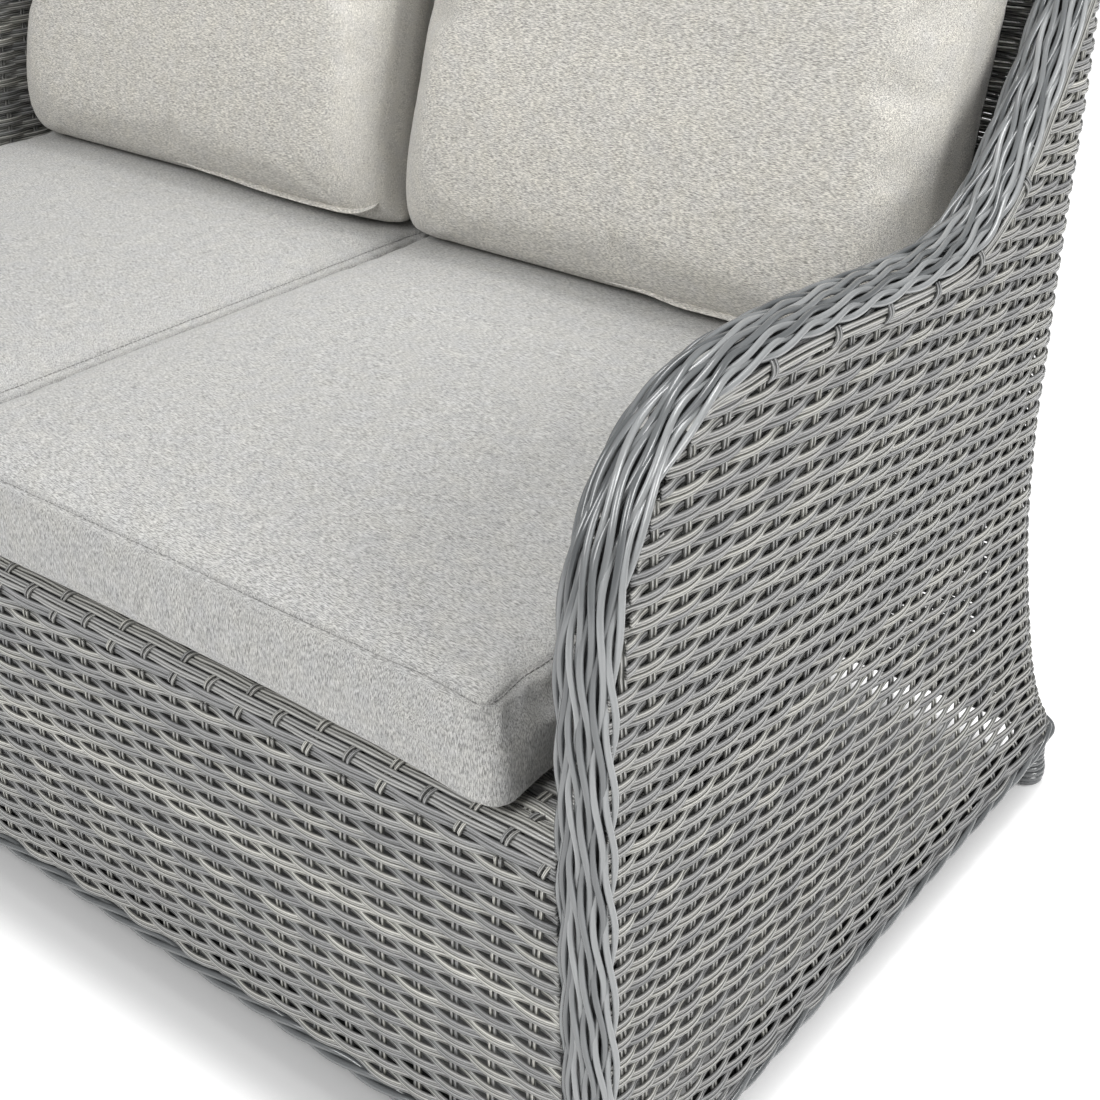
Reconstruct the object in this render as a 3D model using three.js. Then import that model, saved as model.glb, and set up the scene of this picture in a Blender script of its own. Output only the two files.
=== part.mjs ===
// A two-seat garden sofa: a bent aluminium tube frame covered with woven rattan strands,
// braided rims, four wrapped feet, and four loose cushions.
//
// Millimetres. +X is the sitter's left-to-right axis seen from the front, +Y runs to the back, +Z is up.
// While the model is built, Y = 0 is the seam at the front of the seat cushions. The last lines centre it.

import * as THREE from 'three';
import { mergeVertices } from 'three/addons/utils/BufferGeometryUtils.js';

// Clearance between pieces that touch
const GAP = 0.3;

// Tube stock
const FRAME_TUBE_R = 12;
const LOWER_TUBE_R = 9;
const BAR_TUBE_R = 10;
const REAR_RAIL_SET = 6;
const RAIL_TILT_GAP = 1.3;
const TUBE_WALL = 1.6;
const TUBE_SIDES = 8;

// Woven skins and braids
const WEAVE_T = 8;
const BRAID_OUTER_R = 26;
const BRAID_CHORDS = 4;
const BRAID_OUTER_ANGLE = THREE.MathUtils.degToRad(62);
const BRAID_LEG_ANGLE = THREE.MathUtils.degToRad(44);
const BRAID_ARM_ANGLE = THREE.MathUtils.degToRad(72);
const BRAID_START_Z = 62;
const BRAID_EDGE_GAP = 1;
const ROPE_R = 7;
const SKIN_LIP = 4;
const SPLIT_ANGLE = THREE.MathUtils.degToRad(20);
const INNER_TOP_DROP = 4;
const INNER_TOP_TAPER = 78;
const INNER_ARM_TAPER = 24;
const TAPER_START_Z = 690;

// Seat
const SEAM_HEIGHT = 439;
const SEAT_EDGE_T = 80;
const SEAT_CUSHION_WIDTH = 605;
const SEAT_CUSHION_DEPTH = 640;
const SEAT_CROWN = 16;
const SEAT_SIDE_BULGE = 7;
const SEAT_FOOT_TUCK = 4;
const JOINT_GAP = 0.6;
const DECK_NOTCH = 1.5;
const DECK_OVERHANG = 6;
const DECK_FRONT_IN = 4;
const BAR_SIDE_IN = 275;
const BAR_SPREAD = SEAT_CUSHION_WIDTH - BAR_SIDE_IN;

// Back cushions
const BACK_CUSHION_NARROWER = 17;
const BACK_CUSHION_WIDTH = SEAT_CUSHION_WIDTH - BACK_CUSHION_NARROWER;
const BACK_CUSHION_HEIGHT = 430;
const BACK_CUSHION_T = 130;
const BACK_CUSHION_EDGE = 0.74;
const BACK_CUSHION_SIDE_GAP = 1.5;
const BACK_CUSHION_REST_GAP = 1;
const BACK_CUSHION_SINK = 0.55;

// Arms, as the centre line of their tube: places on the front leg, the arm and the top of the back
const FRONT_LEG_Y = 16;
const SEAT_TO_ARM = 65.5;
const ARM_X_FRONT = SEAT_CUSHION_WIDTH + SEAT_TO_ARM;
const ARM_TAPER = 40.02;
const ARM_INWARD_LEAN = 0.03;
const REAR_INWARD_LEAN = 0.03;
const FLARE_FRONT = 12;
const FLARE_REAR = 40;
const FLARE_DEPTH = 380;
const FLARE_POWER = 1.6;
const ARM_PAST_SEAT = 50;
const REAR_Y = SEAT_CUSHION_DEPTH + ARM_PAST_SEAT;
const FRONT_CURVE_START_Z = 476;
const ARM_CREST_Y = 150;
const ARM_CREST_Z = 616;
const ARM_DIP_Y = 455;
const ARM_DIP_Z = 587;
const SWEEP_END_IN = 55;
const SWEEP_END_DROP = 46;
const TOP_RAIL_Z = 832;
const TOP_CORNER_RUN = 30;
const TOP_STRAIGHT = 24;
const RIM_STEPS = 44;

// How far the rim keeps its direction on each side of the places above: [along, up]
const LEG_PULL = [0, 86];
const CREST_PULL_FRONT = [-86, 0];
const CREST_PULL_REAR = [100, 0];
const DIP_PULL_FRONT = [-90, 3];
const DIP_PULL_REAR = [105, -4];
const SWEEP_PULL_FRONT = [-112, -128];
const SWEEP_PULL_REAR = [26, 30];
const TOP_PULL = [-48, 0];

// Foot of the woven sides
const ROPE_Z = 53;
const FOOT_RISE = 62;
const POST_TOP_DROP = 38;
const SPLAY_TOP_Z = 120;
const SPLAY_HEIGHTS = [74, 86, 100, SPLAY_TOP_Z];
const POST_STRAIGHT_RISE = 40;
const LEG_TOP_EASE = 50;
const LOWER_SIDE_START_Y = 44;
const LOWER_END_GAP = 3;
const SKIN_POST_GAP = 3;

// Corner between an arm and the back
const CORNER_R = 62;
const CORNER_FOOT_R = 30;
const CORNER_FULL_Z = 300;
const CORNER_TOP_R = 88;
const CORNER_WIDENS_Z = 640;
const POST_ANGLE = THREE.MathUtils.degToRad(40);
const POST_EASE = 1.6;
const POST_SIDE_GAP = 4;

// Outer face of the back, as height above the ground and distance behind the seat cushions
const PROFILE_END_RISE = 34;
const BACK_PROFILE = [
  [0, 113], [ROPE_Z, 102], [83, 90], [105, 79], [150, 68], [249, 62],
  [SEAM_HEIGHT - SEAT_EDGE_T, 63], [SEAM_HEIGHT, 68], [594, 93], [TOP_RAIL_Z + PROFILE_END_RISE, 160],
];

// Where the lean of the back cushions is taken: above the seat, and below the top rail
const LEAN_SEAT_RISE = 41;
const LEAN_TOP_DROP = 32;
const BACK_FACE_RISE = 18;

// Stakes of the weave, counted round half of the shell, and over half of the front
const ARM_STAKES = 19;
const CORNER_STAKES = 3;
const BACK_STAKES = 17;
const APRON_STAKES = 19;
const FIRST_STAKE_Y = 19;
const STAKE_LEAN = 0.12;
const APRON_STAKE_LEAN = 0.05;
const WEAVE_RELIEF = 2.7;

// Allowance for the slope of the back between its tubes and its skins
const BACK_SLACK = 0.8;
const LOWER_BACK_SLACK = 2.4;

// Glides and wrapped feet
const GLIDE_R = 13;
const GLIDE_T = 4;
const GLIDE_STEM_L = 22;
const WRAP_TOP_Z = 38;
const WRAP_R = 14.2;
const WRAP_BULGE_R = 15.4;
const WRAP_BULGE_LOW = 6;
const WRAP_BULGE_HIGH = 15;
const WRAP_BULGE_END = 25;

// Surface finishes: colour, roughness, metalness
const FINISH = {
  frame: [0x5d6062, 0.45, 0.6],
  weave: [0x8d8f8e, 0.55, 0],
  braid: [0x8f979d, 0.4, 0],
  glide: [0x24262a, 0.6, 0],
  fabric: [0xc9c6bf, 0.95, 0],
};

// Distance from the centre of a frame tube or a bar to its flats
const flatOf = (radius) => radius * Math.cos(Math.PI / TUBE_SIDES);
const FRAME_FLAT = flatOf(FRAME_TUBE_R);

const SKIN_IN = FRAME_TUBE_R + GAP;
const SKIN_OUT = SKIN_IN + WEAVE_T;
const SHELL = 2 * SKIN_OUT;
const BACK_TUBE_IN = SKIN_OUT + BACK_SLACK;
const BACK_SHELL = SHELL + 2 * BACK_SLACK;
const RAIL_Z = SEAM_HEIGHT - SEAT_EDGE_T - GAP - SKIN_OUT;
const DECK_TOP = RAIL_Z + SKIN_OUT;
const SKIN_BOTTOM_Z = ROPE_Z + ROPE_R + GAP;

// Heights and places on the outer shell

const backSpline = new THREE.SplineCurve(BACK_PROFILE.map(([z, behind]) => (
  new THREE.Vector2(z, SEAT_CUSHION_DEPTH + behind))));
const backSamples = backSpline.getPoints(180);

function backY(z) {
  let i = backSamples.findIndex((p) => p.x >= z);
  i = i < 1 ? 1 : i;
  const a = backSamples[i - 1];
  const b = backSamples[i];
  return a.y + (b.y - a.y) * (z - a.x) / (b.x - a.x);
}

function armX(y, z) {
  const along = THREE.MathUtils.clamp(y / REAR_Y, 0, 1.2);
  const depth = THREE.MathUtils.clamp((SEAM_HEIGHT - z) / FLARE_DEPTH, 0, 1.1);
  const flare = (FLARE_FRONT + (FLARE_REAR - FLARE_FRONT) * along) * depth ** FLARE_POWER;
  const lean = (ARM_INWARD_LEAN + REAR_INWARD_LEAN * along) * Math.max(z - SEAM_HEIGHT, 0);
  return ARM_X_FRONT - ARM_TAPER * y / REAR_Y + flare - lean;
}

// The corner tightens towards the foot and opens towards the top
function cornerR(z) {
  const low = THREE.MathUtils.clamp((z - ROPE_Z) / (CORNER_FULL_Z - ROPE_Z), 0, 1);
  const high = THREE.MathUtils.smoothstep(z, CORNER_WIDENS_Z, TOP_RAIL_Z);
  return CORNER_FOOT_R + (CORNER_R - CORNER_FOOT_R) * low + (CORNER_TOP_R - CORNER_R) * high;
}

function cornerCentre(z) {
  const y = backY(z) - cornerR(z);
  return [armX(y, z) + SKIN_OUT - cornerR(z), y];
}

// Where the corner begins and ends, as distances measured round the outside of the shell
const cornerStart = (z) => cornerCentre(z)[1];
const cornerEnd = (z) => cornerStart(z) + cornerR(z) * Math.PI / 2;

// How far the shell has turned at a distance round its outside: 0 on the arm, a quarter turn on the back
const turnAt = (s, z) => THREE.MathUtils.clamp((s - cornerStart(z)) / cornerR(z), 0, Math.PI / 2);

// A point at a distance round the shell, a height, and a depth inside its outer face
function shell(s, z, inset) {
  const [x, y] = cornerCentre(z);
  const turn = turnAt(s, z);
  const radius = cornerR(z) - inset;
  if (turn === 0) return V(armX(s, z) + SKIN_OUT - inset, s, z);
  return V(
    x + radius * Math.cos(turn) - Math.max(s - cornerEnd(z), 0),
    y + radius * Math.sin(turn),
    z,
  );
}

// Frame tubes lie on a line at this depth
const tubeInset = (s, z) => SKIN_OUT + BACK_SLACK * Math.sin(turnAt(s, z));
const onTubeLine = (p) => shell(p.x, p.y, tubeInset(p.x, p.y));

// Centre of the rear post inside the rounded corner
function postAt(z) {
  const p = shell(cornerStart(z) + cornerR(z) * POST_ANGLE, z, SKIN_OUT + POST_EASE);
  return [p.x, p.y];
}

const V = (x, y, z) => new THREE.Vector3(x, y, z);

function spaced(count, make) {
  return Array.from({ length: count + 1 }, (_, i) => make(i / count));
}

// Small helpers for closed solids

function solid(geometry) {
  const copy = geometry.clone();
  copy.deleteAttribute('normal');
  copy.deleteAttribute('uv');
  return mergeVertices(copy, 1e-4);
}

function flipped(geometry) {
  const index = Array.from(geometry.index.array);
  for (let i = 0; i < index.length; i += 3) {
    [index[i + 1], index[i + 2]] = [index[i + 2], index[i + 1]];
  }
  geometry.setIndex(index);
  return geometry;
}

function mirrored(geometry) {
  return flipped(geometry.clone().applyMatrix4(new THREE.Matrix4().makeScale(-1, 1, 1)));
}

function volume(geometry) {
  const p = geometry.attributes.position;
  const [a, b, c] = [new THREE.Vector3(), new THREE.Vector3(), new THREE.Vector3()];
  let sum = 0;
  for (let i = 0; i < geometry.index.count; i += 3) {
    a.fromBufferAttribute(p, geometry.index.getX(i));
    b.fromBufferAttribute(p, geometry.index.getX(i + 1));
    c.fromBufferAttribute(p, geometry.index.getX(i + 2));
    sum += a.dot(b.cross(c));
  }
  return sum;
}

// A closed solid through rings of points. Half of a ring is its outer face, and half its inner one in reverse
function loft(rings) {
  const n = rings[0].length;
  const positions = rings.flat().flatMap((p) => [p.x, p.y, p.z]);
  const index = [];
  const quad = (a, b, c, d) => index.push(a, b, c, a, c, d);
  for (let i = 0; i + 1 < rings.length; i += 1) {
    for (let j = 0; j < n; j += 1) {
      const k = (j + 1) % n;
      quad(i * n + j, i * n + k, (i + 1) * n + k, (i + 1) * n + j);
    }
  }
  const last = (rings.length - 1) * n;
  for (let j = 0; j + 1 < n / 2; j += 1) {
    quad(j, n - 1 - j, n - 2 - j, j + 1);
    quad(last + j, last + j + 1, last + n - 2 - j, last + n - 1 - j);
  }
  const geometry = new THREE.BufferGeometry();
  geometry.setAttribute('position', new THREE.Float32BufferAttribute(positions, 3));
  geometry.setIndex(index);
  return volume(geometry) < 0 ? flipped(geometry) : geometry;
}

function circle(radius, sides) {
  const shape = new THREE.Shape();
  for (let i = 0; i < sides; i += 1) {
    const a = (i + 0.5) * 2 * Math.PI / sides;
    const [x, y] = [radius * Math.cos(a), radius * Math.sin(a)];
    if (i === 0) shape.moveTo(x, y);
    else shape.lineTo(x, y);
  }
  shape.closePath();
  return shape;
}

function through(points) {
  return points.length === 2 ? new THREE.LineCurve3(...points) : new THREE.CatmullRomCurve3(points);
}

function tube(points, radius, steps) {
  const shape = circle(radius, TUBE_SIDES);
  shape.holes.push(circle(radius - TUBE_WALL, TUBE_SIDES));
  const settings = { steps, bevelEnabled: false, extrudePath: through(points) };
  return solid(new THREE.ExtrudeGeometry(shape, settings));
}

function rod(points, radius, steps) {
  const settings = { steps, bevelEnabled: false, extrudePath: through(points) };
  return solid(new THREE.ExtrudeGeometry(circle(radius, 8), settings));
}

// The rim, unrolled: front leg, rounded front corner, arm, the sweep up the back, and its top corner

const sweepEnd = new THREE.Vector2(backY(TOP_RAIL_Z) - SWEEP_END_IN, TOP_RAIL_Z - SWEEP_END_DROP);
const topStart = new THREE.Vector2(cornerEnd(TOP_RAIL_Z) + TOP_CORNER_RUN, TOP_RAIL_Z);

const legTop = new THREE.Vector2(FRONT_LEG_Y, FRONT_CURVE_START_Z);
const armCrest = new THREE.Vector2(ARM_CREST_Y, ARM_CREST_Z);
const armDip = new THREE.Vector2(ARM_DIP_Y, ARM_DIP_Z);

function pulled(from, fromPull, toPull, to) {
  const [a, b] = [fromPull, toPull].map((pull) => new THREE.Vector2(...pull));
  return new THREE.CubicBezierCurve(from, a.add(from), b.add(to), to);
}

const frontCorner = pulled(legTop, LEG_PULL, CREST_PULL_FRONT, armCrest);
const armTop = pulled(armCrest, CREST_PULL_REAR, DIP_PULL_FRONT, armDip);
const sweep = pulled(armDip, DIP_PULL_REAR, SWEEP_PULL_FRONT, sweepEnd);
const topCorner = pulled(sweepEnd, SWEEP_PULL_REAR, TOP_PULL, topStart);

const rimFlat = [
  ...frontCorner.getPoints(8),
  ...armTop.getPoints(4).slice(1),
  ...sweep.getPoints(7).slice(1),
  ...topCorner.getPoints(6).slice(1),
];
const rimEndS = topStart.x + TOP_STRAIGHT;
const rimEnd = onTubeLine(new THREE.Vector2(rimEndS, TOP_RAIL_Z));
const rimPoints = [...rimFlat.map(onTubeLine), rimEnd];

// Height of an unrolled edge at a distance round the shell
function heightOn(edge, s) {
  const i = edge.findIndex((p) => p.x >= s);
  if (i < 0) return edge[edge.length - 1].y;
  if (i === 0) return edge[0].y;
  return edge[i - 1].y + (edge[i].y - edge[i - 1].y) * (s - edge[i - 1].x) / (edge[i].x - edge[i - 1].x);
}

// Where a column of the shell, which moves with height, meets an unrolled edge
function meets(edge, placeAt) {
  let z = TOP_RAIL_Z;
  for (let i = 0; i < 40; i += 1) z = (z + heightOn(edge, placeAt(z))) / 2;
  return z;
}

// Feet: the last stretch of each leg stands upright, so its wrapping does too
const frontFoot = [armX(FRONT_LEG_Y, FOOT_RISE), FRONT_LEG_Y];
const rearFoot = postAt(SKIN_BOTTOM_Z);
const legEnd = GLIDE_T + GAP;

function uprightFoot([x, y]) {
  return spaced(4, (t) => V(x, y, legEnd + (FOOT_RISE - legEnd) * t));
}

const shaftRise = FRONT_CURVE_START_Z - LEG_TOP_EASE - SPLAY_TOP_Z;
const frontShaft = spaced(4, (t) => SPLAY_TOP_Z + shaftRise * t);
const armPoints = [
  ...uprightFoot(frontFoot),
  ...frontShaft.map((z) => V(armX(FRONT_LEG_Y, z), FRONT_LEG_Y, z)),
  ...rimPoints,
];

function rearPostPoints() {
  const postS = (z) => cornerStart(z) + cornerR(z) * POST_ANGLE;
  const top = meets(rimFlat, postS) - FRAME_TUBE_R - POST_TOP_DROP;
  const straight = SPLAY_TOP_Z + POST_STRAIGHT_RISE;
  const heights = [...SPLAY_HEIGHTS, ...spaced(6, (t) => straight + (top - straight) * t)];
  return [...uprightFoot(rearFoot), ...heights.map((z) => V(...postAt(z), z))];
}

const armTube = tube(armPoints, FRAME_TUBE_R, RIM_STEPS);
const rearPost = tube(rearPostPoints(), FRAME_TUBE_R, 24);

// Frame rails

const railEnd = ([x]) => x - FRAME_FLAT - 2 * GAP;
const rearPostAtRail = postAt(RAIL_Z);
const frontRailHalf = railEnd([armX(FRONT_LEG_Y, RAIL_Z)]);
const rearRailHalf = railEnd(rearPostAtRail);
const rearRailY = backY(RAIL_Z) - BACK_TUBE_IN - REAR_RAIL_SET;

function across(half, y, z, radius) {
  return tube([V(-half, y, z), V(half, y, z)], radius, 1);
}

const frontRail = across(frontRailHalf, FRONT_LEG_Y, RAIL_Z, FRAME_TUBE_R);
const rearRail = across(rearRailHalf, rearRailY, RAIL_Z, FRAME_TUBE_R);
const topRail = across(rimEnd.x - 2 * GAP, rimEnd.y, TOP_RAIL_Z, FRAME_TUBE_R);

const sideStartY = FRONT_LEG_Y + FRAME_FLAT + RAIL_TILT_GAP;
const sideEndY = rearPostAtRail[1] - FRAME_TUBE_R - GAP;
const sideRail = tube([
  V(armX(sideStartY, RAIL_Z), sideStartY, RAIL_Z),
  V(rearPostAtRail[0] - 2, sideEndY, RAIL_Z),
], FRAME_TUBE_R, 1);

// The lower tube sits behind the foot of the skin, just above the border rope
const LOWER_IN = FRAME_TUBE_R - LOWER_TUBE_R;
const ropeCentre = (SKIN_IN + SKIN_OUT) / 2 - 1;
const LOWER_Z = ROPE_Z + Math.sqrt((LOWER_TUBE_R + ROPE_R + GAP) ** 2 - (ropeCentre - LOWER_IN) ** 2) + 0.2;

function sidePoint(y, z, out) {
  return V(armX(y, z) + out, y, z);
}

const lowerFrontHalf = armX(FRONT_LEG_Y, LOWER_Z) - FRAME_TUBE_R - LOWER_END_GAP;
const lowerFront = tube([
  V(-lowerFrontHalf, FRONT_LEG_Y - LOWER_IN, LOWER_Z),
  V(lowerFrontHalf, FRONT_LEG_Y - LOWER_IN, LOWER_Z),
], LOWER_TUBE_R, 1);
const lowerBackY = backY(LOWER_Z) - WEAVE_T - LOWER_TUBE_R - LOWER_BACK_SLACK;
const lowerBackHalf = railEnd(rearFoot) - RAIL_TILT_GAP;
const lowerBack = across(lowerBackHalf, lowerBackY, LOWER_Z, LOWER_TUBE_R);
const lowerSideEnd = rearFoot[1] - FRAME_TUBE_R - LOWER_TUBE_R - 2;
const lowerSideRun = lowerSideEnd - LOWER_SIDE_START_Y;
const lowerSide = tube(
  spaced(6, (t) => sidePoint(LOWER_SIDE_START_Y + lowerSideRun * t, LOWER_Z, LOWER_IN)),
  LOWER_TUBE_R,
  6,
);

// Bars under the deck, and the upright in the middle of the back
const BAR_Z = DECK_TOP - WEAVE_T - GAP - flatOf(BAR_TUBE_R);
const BAR_X = [-BAR_SPREAD, 0, BAR_SPREAD];
const barStart = FRONT_LEG_Y + FRAME_FLAT + GAP;
const barEnd = rearRailY - FRAME_FLAT - GAP;

function deckBar(x) {
  return tube([V(x, barStart, BAR_Z), V(x, barEnd, BAR_Z)], BAR_TUBE_R, 1);
}

const strutLow = RAIL_Z + FRAME_TUBE_R + GAP;
const strutHigh = TOP_RAIL_Z - FRAME_TUBE_R - GAP;

function backStrut(x) {
  const points = spaced(6, (t) => {
    const z = strutLow + (strutHigh - strutLow) * t;
    return V(x, backY(z) - BACK_TUBE_IN, z);
  });
  return tube(points, BAR_TUBE_R, 6);
}

// Woven skins

function sheet(columns) {
  return loft(columns.map(({ outer, inner }) => [...outer, ...inner.slice().reverse()]));
}

// The rim moved outwards along the shell, as the edge of a skin that laps the tube
function lapped(edge, lip) {
  return edge.map((p, i) => {
    const before = edge[Math.max(i - 1, 0)];
    const after = edge[Math.min(i + 1, edge.length - 1)];
    const along = after.clone().sub(before).normalize();
    return new THREE.Vector2(p.x - along.y * lip, p.y + along.x * lip);
  });
}

const outerEdge = lapped(rimFlat, SKIN_LIP);

// Rows of a skin as shares of its height, closer together where it flares
const SKIN_ROWS = [0, 0.035, 0.08, 0.15, 0.27, 0.42, 0.59, 0.79, 1];

function skin(columns, rows) {
  return sheet(columns.map((at) => ({
    outer: rows.map((t) => at(t, 0)),
    inner: rows.map((t) => at(t, 1)),
  })));
}

// A skin on the inner side of an arm, between the rim above it, a level foot and a leaning rear edge
function armSkin(edge, lowZ, endAt, rows) {
  const endZ = meets(edge, endAt);
  const front = edge[0].x;
  const top = [...edge.filter((p) => p.x < endAt(endZ) - 4), new THREE.Vector2(endAt(endZ), endZ)];
  return skin(top.map((p) => (t, side) => {
    const z = lowZ + (p.y - lowZ) * t;
    const share = (p.x - front) / (endAt(endZ) - front);
    const miss = p.x - (front + share * (endAt(p.y) - front));
    return shell(front + share * (endAt(z) - front) + miss * t, z, SHELL - WEAVE_T * side);
  }), rows);
}

// Where a stake stands at a height, as a distance round the shell. Those of the arm lean back going up
function stakeS(count, z) {
  const share = count / ARM_STAKES;
  if (share < 1) {
    const lean = 4 * STAKE_LEAN * (z - SEAM_HEIGHT) * Math.max(share, 0) * (1 - share);
    return FIRST_STAKE_Y + (cornerStart(z) - FIRST_STAKE_Y) * share + lean;
  }
  const turn = Math.min((count - ARM_STAKES) / CORNER_STAKES, 1);
  const past = Math.max((count - ARM_STAKES - CORNER_STAKES) / BACK_STAKES, 0);
  return cornerStart(z) + cornerR(z) * turn * Math.PI / 2 + cornerCentre(z)[0] * past;
}

// The weave is full over a stake and draws in on both faces halfway to the next
function weaveInset(count, side) {
  const dip = WEAVE_RELIEF * (1 - Math.cos(2 * Math.PI * count)) / 2;
  return side ? WEAVE_T - dip : dip;
}

const halfCounts = (from, to) => spaced(2 * (to - from), (t) => from + (to - from) * t);

// A column of the outer skin at a stake or between two
function outerColumn(count, shift = 0) {
  const placeAt = (z) => stakeS(count, z) + shift;
  const top = meets(outerEdge, placeAt);
  return (t, side) => {
    const z = SKIN_BOTTOM_Z + (top - SKIN_BOTTOM_Z) * t;
    return shell(placeAt(z), z, weaveInset(count, side));
  };
}

const SPLIT = ARM_STAKES + CORNER_STAKES * SPLIT_ANGLE / (Math.PI / 2);
const CORNER_END = ARM_STAKES + CORNER_STAKES;
const LAST_STAKE = CORNER_END + BACK_STAKES;

// In front of the first stake the skin reaches the leg, with closer columns on the rounded corner
const armCounts = [-0.22, -0.1, 0, 0.25, ...halfCounts(0.5, ARM_STAKES + 0.5), SPLIT];
const outerArmSkin = skin(armCounts.map((count) => outerColumn(count)), SKIN_ROWS);

const INNER_BOTTOM_Z = DECK_TOP + GAP;
const INNER_ROWS = [0, 0.25, 0.5, 0.75, 1];
const innerEnd = (z) => (
  postAt(z)[1] - FRAME_TUBE_R - POST_SIDE_GAP
  - INNER_ARM_TAPER * THREE.MathUtils.smoothstep(z, TAPER_START_Z, TOP_RAIL_Z));
const innerArmSkin = armSkin(rimFlat, INNER_BOTTOM_Z, innerEnd, INNER_ROWS);

// The rounded corner behind an arm has its own stretch of skin, up to the rim
const cornerSkin = skin([
  outerColumn(SPLIT, 3 * GAP),
  ...halfCounts(ARM_STAKES + 1, CORNER_END - 0.5).map((count) => outerColumn(count)),
  outerColumn(CORNER_END, -GAP),
], SKIN_ROWS);

// Columns across the back, from a half's edge to the middle and on to the other edge
function bothHalves(places, column) {
  const half = places.map(column);
  const other = half.slice(0, -1).reverse();
  const turned = other.map((at) => (t, side) => at(t, side).multiply(V(-1, 1, 1)));
  return [...half, ...turned];
}

const outerBack = skin(bothHalves(halfCounts(CORNER_END, LAST_STAKE), (count) => (
  outerColumn(count, count === CORNER_END ? GAP : 0))), SKIN_ROWS);

// The inner back narrows under the rounded top corners
const innerBackTop = TOP_RAIL_Z - INNER_TOP_DROP;
const innerBackHalf = (z) => (
  postAt(Math.min(z, TAPER_START_Z))[0] - FRAME_TUBE_R - SKIN_POST_GAP
  - INNER_TOP_TAPER * THREE.MathUtils.smoothstep(z, TAPER_START_Z, TOP_RAIL_Z));
const innerBack = skin(bothHalves([1, 0.5, 0], (share) => (t, side) => {
  const z = INNER_BOTTOM_Z + (innerBackTop - INNER_BOTTOM_Z) * t;
  return V(share * innerBackHalf(z), backY(z) - BACK_SHELL + WEAVE_T * side, z);
}), [0, 0.17, 0.34, 0.51, 0.68, 0.78, 0.86, 0.93, 1]);

// A level panel, given as half-widths from front to back
function levelPanel(outline, low, high) {
  const ring = (z) => [
    ...outline.map(([x, y]) => V(x, y, z)),
    ...outline.slice().reverse().map(([x, y]) => V(-x, y, z)),
  ];
  return loft([ring(low), ring(high)]);
}

const BRAID_REACH = BRAID_OUTER_R * Math.sin(BRAID_LEG_ANGLE) + BRAID_EDGE_GAP;
const apronHalf = armX(FRONT_LEG_Y, SKIN_BOTTOM_Z) - BRAID_REACH;
const apronTopHalf = armX(FRONT_LEG_Y, RAIL_Z) - BRAID_REACH;
const apron = skin(halfCounts(-APRON_STAKES, APRON_STAKES).map((count) => (t, side) => {
  const share = count / APRON_STAKES;
  const z = SKIN_BOTTOM_Z + (RAIL_Z - SKIN_BOTTOM_Z) * t;
  const lean = APRON_STAKE_LEAN * (z - RAIL_Z) * (1 - share ** 2);
  const x = share * (apronHalf + (apronTopHalf - apronHalf) * t) + lean;
  return V(x, FRONT_LEG_Y - SKIN_OUT + weaveInset(count, side), z);
}), [0, 1]);

function arcRing(centre, from, to, inner, outer, steps, place) {
  const ring = [];
  for (const [radius, turn] of [[outer, 1], [inner, -1]]) {
    for (let i = 0; i <= steps; i += 1) {
      const a = turn > 0 ? from + (to - from) * i / steps : to - (to - from) * i / steps;
      ring.push(place(centre, radius, a));
    }
  }
  return ring;
}

const deckFrontY = FRONT_LEG_Y + DECK_FRONT_IN;

// The weave turned over the front rail, from the top of the apron to the front of the deck
const wrapEnd = Math.PI / 2 - Math.asin((deckFrontY - 2 * GAP - FRONT_LEG_Y) / SKIN_OUT);
const railWrap = loft([-1, 1].map((side) => arcRing(
  V(side * apronTopHalf, FRONT_LEG_Y, RAIL_Z),
  Math.PI - GAP / SKIN_IN,
  wrapEnd,
  SKIN_IN,
  SKIN_OUT,
  6,
  (c, r, a) => V(c.x, c.y + r * Math.cos(a), c.z + r * Math.sin(a)),
)));

const deckRearY = backY(DECK_TOP) - BACK_SHELL + WEAVE_T;
const legClear = FRAME_TUBE_R + DECK_NOTCH;
const [deckPostX, deckPostY] = postAt(RAIL_Z);
const deckSide = (y) => armX(y, DECK_TOP) + DECK_OVERHANG;
const deck = levelPanel([
  [apronTopHalf, deckFrontY],
  [apronTopHalf, FRONT_LEG_Y + legClear],
  [deckSide(FRONT_LEG_Y + legClear), FRONT_LEG_Y + legClear],
  [deckSide(deckPostY - legClear), deckPostY - legClear],
  [deckPostX - legClear, deckPostY - legClear],
  [deckPostX - legClear, deckRearY],
], DECK_TOP - WEAVE_T, DECK_TOP);

// Braids over the rims

// A band on the crown of a rim, through the same sections as the tube under it
function braid(centres, alongs, inwardAngle) {
  return loft(centres.map((c, i) => {
    const side = outwardAt(c);
    side.addScaledVector(alongs[i], -side.dot(alongs[i])).normalize();
    const up = new THREE.Vector3().crossVectors(side, alongs[i]);
    const place = (p, r, a) => p.clone()
      .addScaledVector(up, r * Math.cos(a))
      .addScaledVector(side, -r * Math.sin(a));
    const to = inwardAngle(c);
    const clear = (SKIN_IN + GAP) / Math.cos((BRAID_OUTER_ANGLE + to) / (2 * BRAID_CHORDS));
    return arcRing(c, -BRAID_OUTER_ANGLE, to, clear, BRAID_OUTER_R, BRAID_CHORDS, place);
  }));
}

// The direction out of the shell at a place on its tube line
function outwardAt(p) {
  const [x, y] = cornerCentre(p.z);
  if (p.y <= y) return V(1, 0, 0);
  return p.x <= x ? V(0, 1, 0) : V(p.x - x, p.y - y, 0).normalize();
}

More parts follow.
